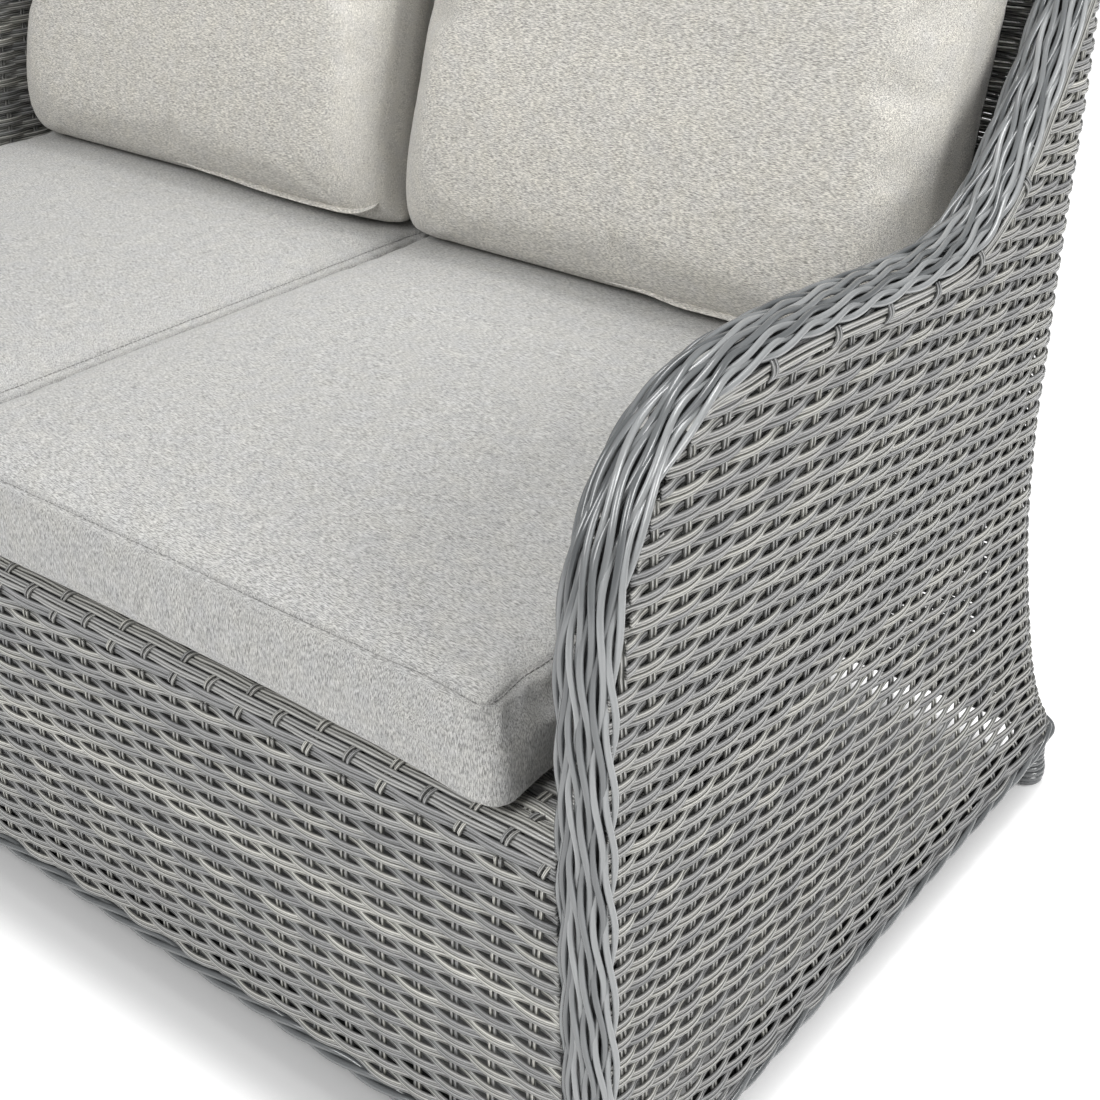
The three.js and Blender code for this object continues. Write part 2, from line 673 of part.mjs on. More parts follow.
const rimCurve = through(armPoints);
const rimCentres = rimCurve.getSpacedPoints(RIM_STEPS);
const rimAlongs = rimCurve.computeFrenetFrames(RIM_STEPS).tangents;
const braidFrom = rimCentres.findIndex((p) => p.z > BRAID_START_Z);
const armBraid = braid(rimCentres.slice(braidFrom), rimAlongs.slice(braidFrom), (c) => {
  const share = THREE.MathUtils.smoothstep(c.z, FRONT_CURVE_START_Z, ARM_CREST_Z);
  return BRAID_LEG_ANGLE + (BRAID_ARM_ANGLE - BRAID_LEG_ANGLE) * share;
});
const topBraidHalf = rimEnd.x - 2 * GAP;
const topBraidEnds = [-1, 1].map((side) => V(-side * topBraidHalf, rimEnd.y, TOP_RAIL_Z));
const topBraid = braid(topBraidEnds, topBraidEnds.map(() => V(-1, 0, 0)), () => BRAID_ARM_ANGLE);

// Border ropes along the foot of the skins

const ropeFrontY = FRONT_LEG_Y - ropeCentre;
const ropeFrontHalf = frontFoot[0] - WRAP_BULGE_R - 4;
const frontRope = rod([-1, 1].map((side) => V(side * ropeFrontHalf, ropeFrontY, ROPE_Z)), ROPE_R, 1);
const ropeBackY = backY(ROPE_Z) - SKIN_OUT + ropeCentre;
const ropeBackHalf = rearFoot[0] - WRAP_BULGE_R - 1;
const backRope = rod([-1, 1].map((side) => V(side * ropeBackHalf, ropeBackY, ROPE_Z)), ROPE_R, 1);
const ropeSideStart = frontFoot[1] + WRAP_BULGE_R + 6;
const ropeSideEnd = rearFoot[1] - WRAP_BULGE_R - 1;
const sideRope = rod(
  spaced(6, (t) => sidePoint(ropeSideStart + (ropeSideEnd - ropeSideStart) * t, ROPE_Z, ropeCentre)),
  ROPE_R,
  6,
);

// Wrapped feet and glides

function footWrap() {
  const bore = FRAME_TUBE_R + 2 * GAP;
  const [low, high] = [legEnd, WRAP_TOP_Z];
  const profile = [
    new THREE.Vector2(bore, low),
    new THREE.Vector2(WRAP_R, low),
    new THREE.Vector2(WRAP_BULGE_R, low + WRAP_BULGE_LOW),
    new THREE.Vector2(WRAP_BULGE_R - 0.6, low + WRAP_BULGE_HIGH),
    new THREE.Vector2(WRAP_R, low + WRAP_BULGE_END),
    new THREE.Vector2(WRAP_R, high),
    new THREE.Vector2(bore, high),
    new THREE.Vector2(bore, low),
  ];
  return solid(new THREE.LatheGeometry(profile, 12)).rotateX(Math.PI / 2);
}

function glide() {
  const stem = flatOf(FRAME_TUBE_R - TUBE_WALL) - GAP;
  const profile = [
    new THREE.Vector2(0, 0),
    new THREE.Vector2(GLIDE_R - 1.5, 0),
    new THREE.Vector2(GLIDE_R, 1.5),
    new THREE.Vector2(GLIDE_R, GLIDE_T),
    new THREE.Vector2(stem, GLIDE_T),
    new THREE.Vector2(stem, GLIDE_T + GLIDE_STEM_L),
    new THREE.Vector2(0, GLIDE_T + GLIDE_STEM_L),
  ];
  return solid(new THREE.LatheGeometry(profile, TUBE_SIDES)).rotateX(Math.PI / 2);
}

// Cushions

function deformedBox(width, depth, height, cells, move) {
  const box = solid(new THREE.BoxGeometry(width, depth, height, ...cells));
  const p = box.attributes.position;
  for (let i = 0; i < p.count; i += 1) {
    const [x, y, z] = [p.getX(i), p.getY(i), p.getZ(i)];
    const [u, v, w] = [2 * x / width, 2 * y / depth, 2 * z / height];
    p.setXYZ(i, ...move(x, y, z, u, v, w));
  }
  return box;
}

// A box cushion: crowned above, its sides swelling between drawn-in corners
function seatCushion() {
  const move = (x, y, z, u, v, w) => {
    const swell = 1 - 0.75 * w ** 2;
    const edge = Math.max(0, -w) ** 4 * SEAT_FOOT_TUCK;
    const nx = x + Math.sign(x) * Math.abs(u) ** 6 * (SEAT_SIDE_BULGE * swell * (1 - v ** 4) - edge);
    const ny = y + Math.sign(y) * Math.abs(v) ** 6 * (SEAT_SIDE_BULGE * swell * (1 - u ** 4) - edge);
    const crown = w > 0 ? SEAT_CROWN * w * (1 - u ** 4) * (1 - v ** 4) : 0;
    return [nx, ny, z + crown];
  };
  const width = SEAT_CUSHION_WIDTH - 2 * SEAT_SIDE_BULGE;
  const depth = SEAT_CUSHION_DEPTH - 2 * SEAT_SIDE_BULGE;
  const box = deformedBox(width, depth, SEAT_EDGE_T - GAP, [10, 10, 3], move);
  const middle = DECK_TOP + GAP + (SEAT_EDGE_T - GAP) / 2;
  return box.translate(SEAT_CUSHION_WIDTH / 2 + JOINT_GAP / 2, depth / 2, middle);
}

// A pillow, thick in the middle and thin at its edges, its corners drawn out a little
function backCushion() {
  const move = (x, y, z, u, v, w) => {
    const fill = (1 - Math.abs(u) ** 5) * (1 - Math.abs(w) ** 5);
    const thick = BACK_CUSHION_EDGE + (1 - BACK_CUSHION_EDGE) * fill;
    const pull = 1 - 0.03 * (1 - Math.abs(w) ** 2) * Math.abs(u) ** 3;
    const drop = 1 - 0.03 * (1 - Math.abs(u) ** 2) * Math.abs(w) ** 3;
    const round = 1 - 0.035 * Math.abs(v) ** 4;
    return [x * pull * round, y * thick, z * drop * round];
  };
  return deformedBox(BACK_CUSHION_WIDTH, BACK_CUSHION_T, BACK_CUSHION_HEIGHT, [8, 3, 8], move);
}

const leanHigh = TOP_RAIL_Z - LEAN_TOP_DROP;
const leanLow = SEAM_HEIGHT + LEAN_SEAT_RISE;
const BACK_LEAN = Math.atan2(backY(leanHigh) - backY(leanLow), leanHigh - leanLow);

function placedBackCushion() {
  const seatTop = SEAM_HEIGHT + SEAT_CROWN * (1 - BACK_CUSHION_SINK);
  const cushion = backCushion();
  cushion.rotateX(-BACK_LEAN);
  const faceY = (z) => backY(z) - BACK_SHELL;
  cushion.computeBoundingBox();
  const rise = seatTop + GAP - cushion.boundingBox.min.z;
  cushion.translate(BACK_CUSHION_WIDTH / 2 + BACK_CUSHION_SIDE_GAP, 0, rise);
  const p = cushion.attributes.position;
  let shift = Infinity;
  for (let i = 0; i < p.count; i += 1) {
    const face = faceY(Math.min(p.getZ(i), TOP_RAIL_Z + BACK_FACE_RISE));
    shift = Math.min(shift, face - GAP - BACK_CUSHION_REST_GAP - p.getY(i));
  }
  return cushion.translate(0, shift, 0);
}

// The sofa

const sofa = new THREE.Group();

function add(name, geometry, finish) {
  const [color, roughness, metalness] = FINISH[finish];
  const mesh = new THREE.Mesh(geometry, new THREE.MeshStandardMaterial({ color, roughness, metalness }));
  mesh.name = name;
  sofa.add(mesh);
  return mesh;
}

function addPair(name, geometry, finish) {
  add(`${name}_right`, geometry, finish);
  add(`${name}_left`, mirrored(geometry), finish);
}

addPair('arm_tube', armTube, 'frame');
addPair('rear_post', rearPost, 'frame');
add('front_seat_rail', frontRail, 'frame');
add('rear_seat_rail', rearRail, 'frame');
addPair('side_seat_rail', sideRail, 'frame');
add('back_top_rail', topRail, 'frame');
add('lower_rail_front', lowerFront, 'frame');
add('lower_rail_back', lowerBack, 'frame');
addPair('lower_rail_side', lowerSide, 'frame');
['left', 'middle', 'right'].forEach((side, i) => {
  add(`deck_bar_${side}`, deckBar(BAR_X[i]), 'frame');
  add(`back_strut_${side}`, backStrut(BAR_X[i]), 'frame');
});

add('front_apron_weave', apron, 'weave');
add('front_rail_wrap', railWrap, 'weave');
add('seat_deck_weave', deck, 'weave');
addPair('outer_arm_weave', outerArmSkin, 'weave');
addPair('corner_weave', cornerSkin, 'weave');
addPair('inner_arm_weave', innerArmSkin, 'weave');
add('outer_back_weave', outerBack, 'weave');
add('inner_back_weave', innerBack, 'weave');

addPair('arm_braid', armBraid, 'braid');
add('back_top_braid', topBraid, 'braid');
add('border_rope_front', frontRope, 'braid');
add('border_rope_back', backRope, 'braid');
addPair('border_rope_side', sideRope, 'braid');

for (const [end, [x, y]] of [['front', frontFoot], ['rear', rearFoot]]) {
  addPair(`${end}_foot_wrap`, footWrap().translate(x, y, 0), 'braid');
  addPair(`${end}_glide`, glide().translate(x, y, 0), 'glide');
}

addPair('seat_cushion', seatCushion(), 'fabric');
addPair('back_cushion', placedBackCushion(), 'fabric');

// Centre the sofa between its front and its back
const box = new THREE.Box3().setFromObject(sofa);
sofa.position.y = -(box.min.y + box.max.y) / 2;
sofa.updateMatrixWorld(true);

export default sofa;
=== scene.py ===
"""The finished look of a two-seat woven garden sofa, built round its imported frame.

The shell of the sofa is described by the same few curves as its frame: the outer face of the back,
the arms, the rounded corners between them and the rim over it all. Every strand is laid on that
shell. Lengths inside the construction functions are millimetres, with y = 0 at the front seam of
the seat cushions, and meshes are written in metres in the frame's own place.
"""

import math
from itertools import product

import bpy
import numpy as np
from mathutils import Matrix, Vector
from mathutils.bvhtree import BVHTree

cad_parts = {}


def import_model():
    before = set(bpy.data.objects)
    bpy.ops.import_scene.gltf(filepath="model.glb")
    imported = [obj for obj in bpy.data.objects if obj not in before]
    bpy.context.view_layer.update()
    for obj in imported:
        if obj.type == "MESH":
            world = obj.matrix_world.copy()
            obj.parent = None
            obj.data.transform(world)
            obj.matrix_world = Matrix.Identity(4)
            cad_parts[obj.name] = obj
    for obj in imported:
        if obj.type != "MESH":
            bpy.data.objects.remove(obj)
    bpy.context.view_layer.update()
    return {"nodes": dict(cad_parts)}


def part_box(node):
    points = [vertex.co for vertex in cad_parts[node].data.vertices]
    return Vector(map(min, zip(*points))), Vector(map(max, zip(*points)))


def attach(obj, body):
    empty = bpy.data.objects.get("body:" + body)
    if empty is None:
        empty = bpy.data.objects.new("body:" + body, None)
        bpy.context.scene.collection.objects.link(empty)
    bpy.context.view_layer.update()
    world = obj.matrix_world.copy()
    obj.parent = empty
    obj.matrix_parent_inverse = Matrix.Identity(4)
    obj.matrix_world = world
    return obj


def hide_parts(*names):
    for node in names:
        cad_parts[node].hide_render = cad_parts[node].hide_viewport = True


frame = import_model()

METRE = 1000.0

# Tubes and skins
FRAME_TUBE_R = 12.0
SKIN_IN = 12.3
SKIN_T = 8.0
SKIN_OUT = SKIN_IN + SKIN_T
SHELL_T = 2 * SKIN_OUT
BACK_SHELL_T = SHELL_T + 1.6

# Heights and places
SEAM_HEIGHT = 439.0
RAIL_Z = 338.4
DECK_TOP = RAIL_Z + SKIN_OUT
SKIN_BOTTOM_Z = 60.3
ROPE_Z = 53.0
TOP_RAIL_Z = 832.0
FRONT_LEG_Y = 16.0
REAR_Y = 690.0
ARM_X_FRONT = 670.5

# Outer face of the back, as height above the ground and distance from the front
BACK_PROFILE = [
    (0, 753), (53, 742), (83, 730), (105, 719), (150, 708), (249, 702),
    (359, 703), (439, 708), (594, 733), (866, 800),
]

# Rim, unrolled, as distance round the shell and height
ARM_CREST = (150.0, 616.0)
ARM_DIP = (455.0, 587.0)
LEG_TOP_Z = 476.0

# Weave
STAKE_PITCH = 34.0
ROW_PITCH = 7.7
APRON_ROW_PITCH = 8.15
STRAND_W = 4.35
STRAND_T = 2.4
STAKE_R = 1.5
STAKE_HALF_GAP = 1.95
STAKE_STEP = 8.0
WEFT_SHADES = (0.3, 0.75)
ROWS_BELOW = 28.0
WEAVE_DEPTH = 2.5
ARM_COLUMNS = 17
CORNER_COLUMNS = 3
BACK_COLUMNS = 17
STAKE_LEAN = 0.14
FIRST_STAKE_Y = 19.0
FAR_STAKE_PITCH = 39.3
CLOSER_STAKES = 28.6
CLOSER_STAKE_RUN = 2.6
SPLIT_TURN = math.radians(20)

# Braid
BRAID_R = 26.0
BRAID_STRAND_R = 2.25
BRAID_LAY_ACROSS = 3.1
BRAID_LAY_DEEP = 2.1
BRAID_PITCH = 106.0
BRAID_START_Z = 62.0
BRAID_ANGLES = (-58, -38, -18, 2, 22, 42, 62)

# Camera, as it stood for the photograph
CAMERA_PLACE = (1.1579, -1.0336, 1.0245)
CAMERA_AIM = (-0.5424, 0.6818, -0.4909)
CAMERA_LENS = 56.68
CAMERA_SENSOR = 36.0

SIDES = (("right", False), ("left", True))

rng = np.random.default_rng(7)

low_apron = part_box("front_apron_weave")[0]
CENTRE_Y = FRONT_LEG_Y - SKIN_OUT - low_apron.y * METRE


# Curves

def catmull_rom(points, count):
    """Points at even parameters along a Catmull-Rom curve."""
    p = np.asarray(points, float)
    ends = np.vstack([p[:1], p, p[-1:]])
    at = np.linspace(0, len(p) - 1, count)
    i = np.minimum(at.astype(int), len(p) - 2)
    t = (at - i)[:, None]
    a, b, c, d = ends[i], ends[i + 1], ends[i + 2], ends[i + 3]
    v0, v1 = (c - a) / 2, (d - b) / 2
    return (2 * b - 2 * c + v0 + v1) * t ** 3 + (3 * c - 3 * b - 2 * v0 - v1) * t ** 2 + v0 * t + b


def bezier(a, b, c, d, count):
    a, b, c, d = (np.asarray(p, float) for p in (a, b, c, d))
    t = np.linspace(0, 1, count + 1)[:, None]
    return a * (1 - t) ** 3 + 3 * b * t * (1 - t) ** 2 + 3 * c * t ** 2 * (1 - t) + d * t ** 3


def smoothstep(x, low, high):
    t = np.clip((np.asarray(x, float) - low) / (high - low), 0, 1)
    return t * t * (3 - 2 * t)


def unit(v):
    return v / np.maximum(np.linalg.norm(v, axis=-1, keepdims=True), 1e-9)


def square_to(way, v):
    """Directions v, made square to way."""
    return unit(v - (v * way).sum(-1, keepdims=True) * way)


def eased(values, width):
    """A line of points or directions, smoothed over a number of neighbours."""
    window = np.hanning(width)
    window /= window.sum()
    pad = width // 2
    ends = np.pad(values, ((pad, pad), (0, 0)), mode="reflect", reflect_type="odd")
    return np.stack([np.convolve(ends[:, i], window, "valid") for i in range(3)], -1)


def along_line(points):
    """Distance along a line of points, from its start."""
    return np.r_[0, np.cumsum(np.linalg.norm(np.diff(points, axis=0), axis=1))]


def resampled(points, step):
    """The same line with points a step apart."""
    d = along_line(points)
    at = np.linspace(0, d[-1], max(int(round(d[-1] / step)), 1) + 1)
    return np.stack([np.interp(at, d, points[:, i]) for i in range(points.shape[1])], -1)


# The shell

BACK_CURVE = catmull_rom(BACK_PROFILE, 181)


def back_y(z):
    return np.interp(z, BACK_CURVE[:, 0], BACK_CURVE[:, 1])


def arm_x(y, z):
    along = np.clip(y / REAR_Y, 0, 1.2)
    depth = np.clip((SEAM_HEIGHT - z) / 380, 0, 1.1)
    flare = (12 + 28 * along) * depth ** 1.6
    lean = (0.03 + 0.03 * along) * np.maximum(z - SEAM_HEIGHT, 0)
    return ARM_X_FRONT - 0.058 * y + flare - lean


def corner_r(z):
    low = np.clip((z - ROPE_Z) / 247, 0, 1)
    return 30 + 32 * low + 26 * smoothstep(z, 640, TOP_RAIL_Z)


def corner_start(z):
    return back_y(z) - corner_r(z)


def corner_end(z):
    return corner_start(z) + corner_r(z) * np.pi / 2


def corner_x(z):
    return arm_x(corner_start(z), z) + SKIN_OUT - corner_r(z)


def turn_at(s, z):
    return np.clip((s - corner_start(z)) / corner_r(z), 0, np.pi / 2)


def shell(s, z, inset):
    """A point at a distance round the shell, a height, and a depth inside its outer face."""
    s, z, inset = np.broadcast_arrays(*(np.asarray(a, float) for a in (s, z, inset)))
    turn = turn_at(s, z)
    radius = corner_r(z) - inset
    round_x = corner_x(z) + radius * np.cos(turn) - np.maximum(s - corner_end(z), 0)
    x = np.where(turn > 0, round_x, arm_x(s, z) + SKIN_OUT - inset)
    y = np.where(turn > 0, corner_start(z) + radius * np.sin(turn), s)
    return np.stack([x, y, z], -1)


def post_at(z):
    return shell(corner_start(z) + corner_r(z) * math.radians(40), z, SKIN_OUT + 1.6)


SWEEP_END = np.array([back_y(TOP_RAIL_Z) - 55, TOP_RAIL_Z - 46])
TOP_START = np.array([corner_end(TOP_RAIL_Z) + 30, TOP_RAIL_Z])
CREST, DIP = np.array(ARM_CREST), np.array(ARM_DIP)
RIM = np.vstack([
    bezier((FRONT_LEG_Y, LEG_TOP_Z), (FRONT_LEG_Y, LEG_TOP_Z + 86), CREST - (86, 0), CREST, 30),
    bezier(CREST, CREST + (100, 0), DIP + (-90, 3), DIP, 24)[1:],
    bezier(DIP, DIP + (105, -4), SWEEP_END - (112, 128), SWEEP_END, 30)[1:],
    bezier(SWEEP_END, SWEEP_END + (26, 30), TOP_START - (48, 0), TOP_START, 20)[1:],
])


def rim_z(s):
    return np.interp(s, RIM[:, 0], RIM[:, 1])


STAKE_COUNTS = np.linspace(-1, ARM_COLUMNS, 721)
STAKE_SHARES = FAR_STAKE_PITCH * STAKE_COUNTS - CLOSER_STAKES * (
    1 - np.exp(-np.maximum(STAKE_COUNTS, 0) / CLOSER_STAKE_RUN))
STAKE_SHARES /= STAKE_SHARES[-1]


def phase(s, z):
    """Which column of stakes stands at a place on the outer shell of one side, corner included."""
    reach = corner_start(z) - FIRST_STAKE_Y
    g = (s - FIRST_STAKE_Y) / reach
    lean = 4 * STAKE_LEAN * (z - SEAM_HEIGHT) / reach
    upright = 2 * g / (1 + lean + np.sqrt(np.maximum((1 + lean) ** 2 - 4 * lean * g, 0)))
    on_arm = np.interp(upright, STAKE_SHARES, STAKE_COUNTS)
    turn = turn_at(s, z) / (np.pi / 2)
    past = np.maximum(s - corner_end(z), 0) / corner_x(z) * BACK_COLUMNS
    return np.where(turn > 0, ARM_COLUMNS + CORNER_COLUMNS * turn + past, on_arm)


# Meshes made of strands

def placed(name, data):
    """A new object in the scene."""
    made = bpy.data.objects.new(name, data)
    bpy.context.scene.collection.objects.link(made)
    return made


class Strands:
    """Strands with as many sides each, gathered into one mesh, with the facts their materials read."""

    def __init__(self):
        self.co, self.quads, self.caps, self.facts, self.count = [], [], [], [], 0

    def add(self, line, across, out, width, thick, tone, sides=6):
        """A strand along a line of three points or more, with its directions at each of them."""
        n = len(line)
        a = (np.arange(sides) + 0.5) * 2 * np.pi / sides
        w = np.broadcast_to(np.asarray(width, float) / 2, n)[:, None, None]
        t = np.broadcast_to(np.asarray(thick, float) / 2, n)[:, None, None]
        wide = across[:, None] * (w * np.cos(a)[None, :, None])
        deep = out[:, None] * (t * np.sin(a)[None, :, None])
        self.co.append((line[:, None] + (wide + deep)).reshape(-1, 3))
        i, j = np.meshgrid(np.arange(n - 1), np.arange(sides), indexing="ij")
        k = (j + 1) % sides
        quad = np.stack([i * sides + j, i * sides + k, (i + 1) * sides + k, (i + 1) * sides + j], -1)
        cap = np.arange(sides)
        middle = n // 2
        ahead = line[middle + 1] - line[middle]
        turned = np.dot(np.cross(across[middle], out[middle]), ahead) < 0
        first, last = cap[::-1], cap + (n - 1) * sides
        if turned:
            quad, first, last = quad[..., ::-1], first[::-1], last[::-1]
        self.quads.append(quad.reshape(-1, 4) + self.count)
        self.caps.append(np.stack([first, last]) + self.count)
        run = along_line(line)
        self.facts.append(np.stack([
            np.tile(np.cos(a), n), np.repeat(run, sides), np.full(n * sides, tone),
        ], -1))
        self.count += n * sides

    def mesh(self, name, mirror=False, origin_y=CENTRE_Y):
        co = np.vstack(self.co)
        co[:, 1] -= origin_y
        co /= METRE
        quads, caps = np.vstack(self.quads), np.vstack(self.caps)
        if mirror:
            co[:, 0] *= -1
            quads, caps = quads[:, ::-1], caps[:, ::-1]
        loops = np.concatenate([quads.ravel(), caps.ravel()])
        sizes = np.repeat([4, caps.shape[1]], [len(quads), len(caps)])
        mesh = bpy.data.meshes.new(name)
        mesh.vertices.add(len(co))
        mesh.vertices.foreach_set("co", co.ravel())
        mesh.loops.add(len(loops))
        mesh.loops.foreach_set("vertex_index", loops.astype(np.int32))
        mesh.polygons.add(len(sizes))
        mesh.polygons.foreach_set("loop_start", np.r_[0, np.cumsum(sizes)[:-1]].astype(np.int32))
        mesh.polygons.foreach_set("use_smooth", np.ones(len(sizes), bool))
        for key, values in zip(("across", "along", "tone"), np.vstack(self.facts).T):
            mesh.attributes.new(key, "FLOAT", "POINT").data.foreach_set("value", values.astype(np.float32))
        mesh.update(calc_edges=True)
        mesh.validate()
        return placed(name, mesh)


def dress(piece, material, slot, body, *nodes):
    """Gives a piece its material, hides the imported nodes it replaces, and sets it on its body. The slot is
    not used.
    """
    piece.data.materials.append(material)
    if nodes:
        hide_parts(*nodes)
    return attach(piece, body)


def runs(mask):
    """Start and end of each unbroken run of true values."""
    edges = np.flatnonzero(np.diff(np.r_[0, mask.astype(int), 0]))
    return list(zip(edges[::2], edges[1::2]))


class Sheet:
    """A woven sheet. place(u, v, depth) gives points, phase(u, v) the column and inside(u, v) the outline."""

    def __init__(self, place, phase, inside, step=5.2):
        self.place, self.phase, self.inside, self.step = place, phase, inside, step

    def frame(self, u, v, depth):
        here = self.place(u, v, depth)
        out = unit(self.place(u, v, depth + 1) - here)
        across = square_to(out, unit(self.place(u, v + 1, depth) - here))
        return here, across, out

    def weft(self, strands, u0, u1, row, v, width=STRAND_W, swing=WEAVE_DEPTH, shade=None):
        """Two strands side by side, over one stake and under the next. v is a number or depends on u."""
        u = np.linspace(u0, u1, max(int(abs(u1 - u0) / self.step), 2) + 1)
        v = v(u) if callable(v) else v + 0 * u
        if shade is None:
            shade = rng.uniform(*WEFT_SHADES)
        wave = np.cos(np.pi * (self.phase(u, v) + row))
        depth = swing * np.sign(wave) * np.abs(wave) ** 0.85
        for side in (-0.5, 0.5):
            line, across, out = self.frame(u, v + side * width * 0.96, depth)
            tone = np.clip(shade + rng.normal(0, 0.14), 0, 1)
            for a, b in runs(self.inside(u, v)):
                if b - a > 2:
                    strands.add(line[a:b], across[a:b], out[a:b], width, STRAND_T, tone)

    def stakes(self, strands, columns, v, u_range, sway=0.4, rows=None, width=2 * STAKE_R):
        """Pairs of strands that stand across the weft."""
        u = np.linspace(*u_range, 400)
        for column in columns:
            at = np.array([np.interp(column, self.phase(u, np.full(400, w)), u, np.nan, np.nan) for w in v])
            keep = np.isfinite(at)
            at = np.where(keep, at, 0)
            keep &= self.inside(at, v)
            if rows is None:
                depth = np.zeros(len(v))
            else:
                depth = -sway * np.cos(np.pi * (column + rows(v)))
            shade = rng.uniform(0.45, 0.9)
            for a, b in runs(keep):
                if b - a < 3:
                    continue
                here, _, out = self.frame(at[a:b], v[a:b], depth[a:b])
                aside = unit(np.cross(unit(np.gradient(here, axis=0)), out))
                for side in (-1, 1):
                    line = here + side * STAKE_HALF_GAP * aside
                    tone = np.clip(shade + rng.normal(0, 0.15), 0, 1)
                    strands.add(line, aside, out, width, width * 0.9, tone)


# Materials

def feed(made, values):
    """Sets inputs of a node, by name or number, to constants or to the outputs of other nodes."""
    for key, value in values.items():
        socket = made.inputs[key]
        if hasattr(value, "links"):
            made.id_data.links.new(value, socket)
        else:
            socket.default_value = value
    return made


def node(tree, kind, inputs=None, **settings):
    made = tree.nodes.new(kind)
    for key, value in settings.items():
        setattr(made, key, value)
    return feed(made, inputs or {})


def blank(name):
    material = bpy.data.materials.new(name)
    material.use_nodes = True
    tree = material.node_tree
    return material, tree, tree.nodes["Principled BSDF"]


def maths(tree, operation, a, b=0.0):
    return node(tree, "ShaderNodeMath", {0: a, 1: b}, operation=operation).outputs[0]


def fact(tree, name):
    return node(tree, "ShaderNodeAttribute", attribute_name=name).outputs["Fac"]


def own_place(tree):
    return node(tree, "ShaderNodeTexCoord").outputs["Object"]


def noise(tree, place, scale, detail=2.0):
    made = node(tree, "ShaderNodeTexNoise", {"Vector": place, "Scale": scale, "Detail": detail})
    return made.outputs["Fac"]


def ranged(tree, value, start, end, low=0.0, high=1.0, **settings):
    """The value, carried from start..end to low..high."""
    inputs = {"Value": value, "From Min": start, "From Max": end, "To Min": low, "To Max": high}
    return node(tree, "ShaderNodeMapRange", inputs, **settings).outputs["Result"]


def ramp(tree, value, stops):
    made = node(tree, "ShaderNodeValToRGB", {"Fac": value})
    elements = made.color_ramp.elements
    while len(elements) < len(stops):
        elements.new(0.5)
    for element, (place, colour) in zip(elements, stops):
        element.position = place
        element.color = (*colour, 1)
    return made.outputs["Color"]


def multiplied(tree, a, b):
    inputs = {0: 1.0, 6: a, 7: b}
    return node(tree, "ShaderNodeMix", inputs, data_type="RGBA", blend_type="MULTIPLY").outputs[2]


def bumped(tree, shader, height, strength, distance):
    bump = node(tree, "ShaderNodeBump", {"Strength": strength, "Distance": distance, "Height": height})
    feed(shader, {"Normal": bump.outputs[0]})


def strand_material(name, stops, roughness, groove_light_and_speckle_strength, grooves, bump_depth):
    """Extruded strand: its own tone, speckled streaks and grooves that run along it; the grooves also darken
    its colour and the ridges lighten it, as painted shade and painted highlight.
    """
    material, tree, shader = blank(name)
    across, along, tone = fact(tree, "across"), fact(tree, "along"), fact(tree, "tone")
    place = node(tree, "ShaderNodeCombineXYZ", {
        "X": maths(tree, "MULTIPLY", across, 1.6),
        "Y": maths(tree, "MULTIPLY", along, 0.02),
        "Z": maths(tree, "MULTIPLY", tone, 91.0),
    })
    speckle = maths(tree, "MULTIPLY", noise(tree, place.outputs[0], 1.0), 0.36)
    offset = maths(tree, "SUBTRACT", maths(tree, "MULTIPLY", tone, 1.2), 2.17)
    wave = maths(tree, "ADD", maths(tree, "MULTIPLY", across, grooves), offset)
    ridge = maths(tree, "ADD", maths(tree, "MULTIPLY", maths(tree, "SINE", wave), 0.5), 0.5)
    relief = maths(tree, "ADD", maths(tree, "MULTIPLY", ridge, 0.64), speckle)
    # Painted shade in the grooves and painted highlight on the ridges, together with a random speckle of
    # tone.
    painted_groove_light_and_speckle = [(0.16, (1 - groove_light_and_speckle_strength,) * 3), (0.5, (1.0,) * 3), (0.84, (1 + 0.8 * groove_light_and_speckle_strength,) * 3)]
    colour = multiplied(tree, ramp(tree, tone, stops), ramp(tree, relief, painted_groove_light_and_speckle))
    feed(shader, {"Base Color": colour, "Roughness": roughness, "Specular IOR Level": 0.85})
    bumped(tree, shader, relief, 0.9, bump_depth)
    return material


WEAVE_STOPS = [
    (0.0, (0.150, 0.152, 0.154)), (0.3, (0.235, 0.237, 0.236)), (0.55, (0.310, 0.309, 0.298)),
    (0.8, (0.380, 0.376, 0.345)), (1.0, (0.520, 0.512, 0.470)),
]
BRAID_STOPS = [
    (0.0, (0.088, 0.094, 0.098)), (0.4, (0.152, 0.160, 0.164)), (0.7, (0.218, 0.227, 0.231)),
    (1.0, (0.330, 0.340, 0.343)),
]
THREAD_STOPS = [(0.0, (0.15, 0.15, 0.145)), (1.0, (0.30, 0.295, 0.285))]
# The fourth number sets how strongly the grooves are painted darker and the ridges painted lighter.
weave_material = strand_material("weave_strand", WEAVE_STOPS, 0.28, 0.66, 6.28, 0.0008)
braid_material = strand_material("braid_strand", BRAID_STOPS, 0.20, 0.18, 2.0, 0.0002)
thread_material = strand_material("seam_thread", THREAD_STOPS, 0.60, 0.10, 2.0, 0.0001)


def grained_material(name, scale, dark, light, roughness, metallic=0.0, relief=0.0):
    """A painted or moulded surface with a fine grain."""
    material, tree, shader = blank(name)
    grain = noise(tree, own_place(tree), scale)
    colour = ramp(tree, grain, [(0.3, dark), (0.7, light)])
    feed(shader, {"Base Color": colour, "Roughness": roughness, "Metallic": metallic})
    if relief:
        bumped(tree, shader, grain, 0.3, relief)
    return material


WEFT_YARNS, WARP_YARNS = 1900.0, 2800.0
DARK_YARN, LIGHT_YARN = 0.50, 1.46


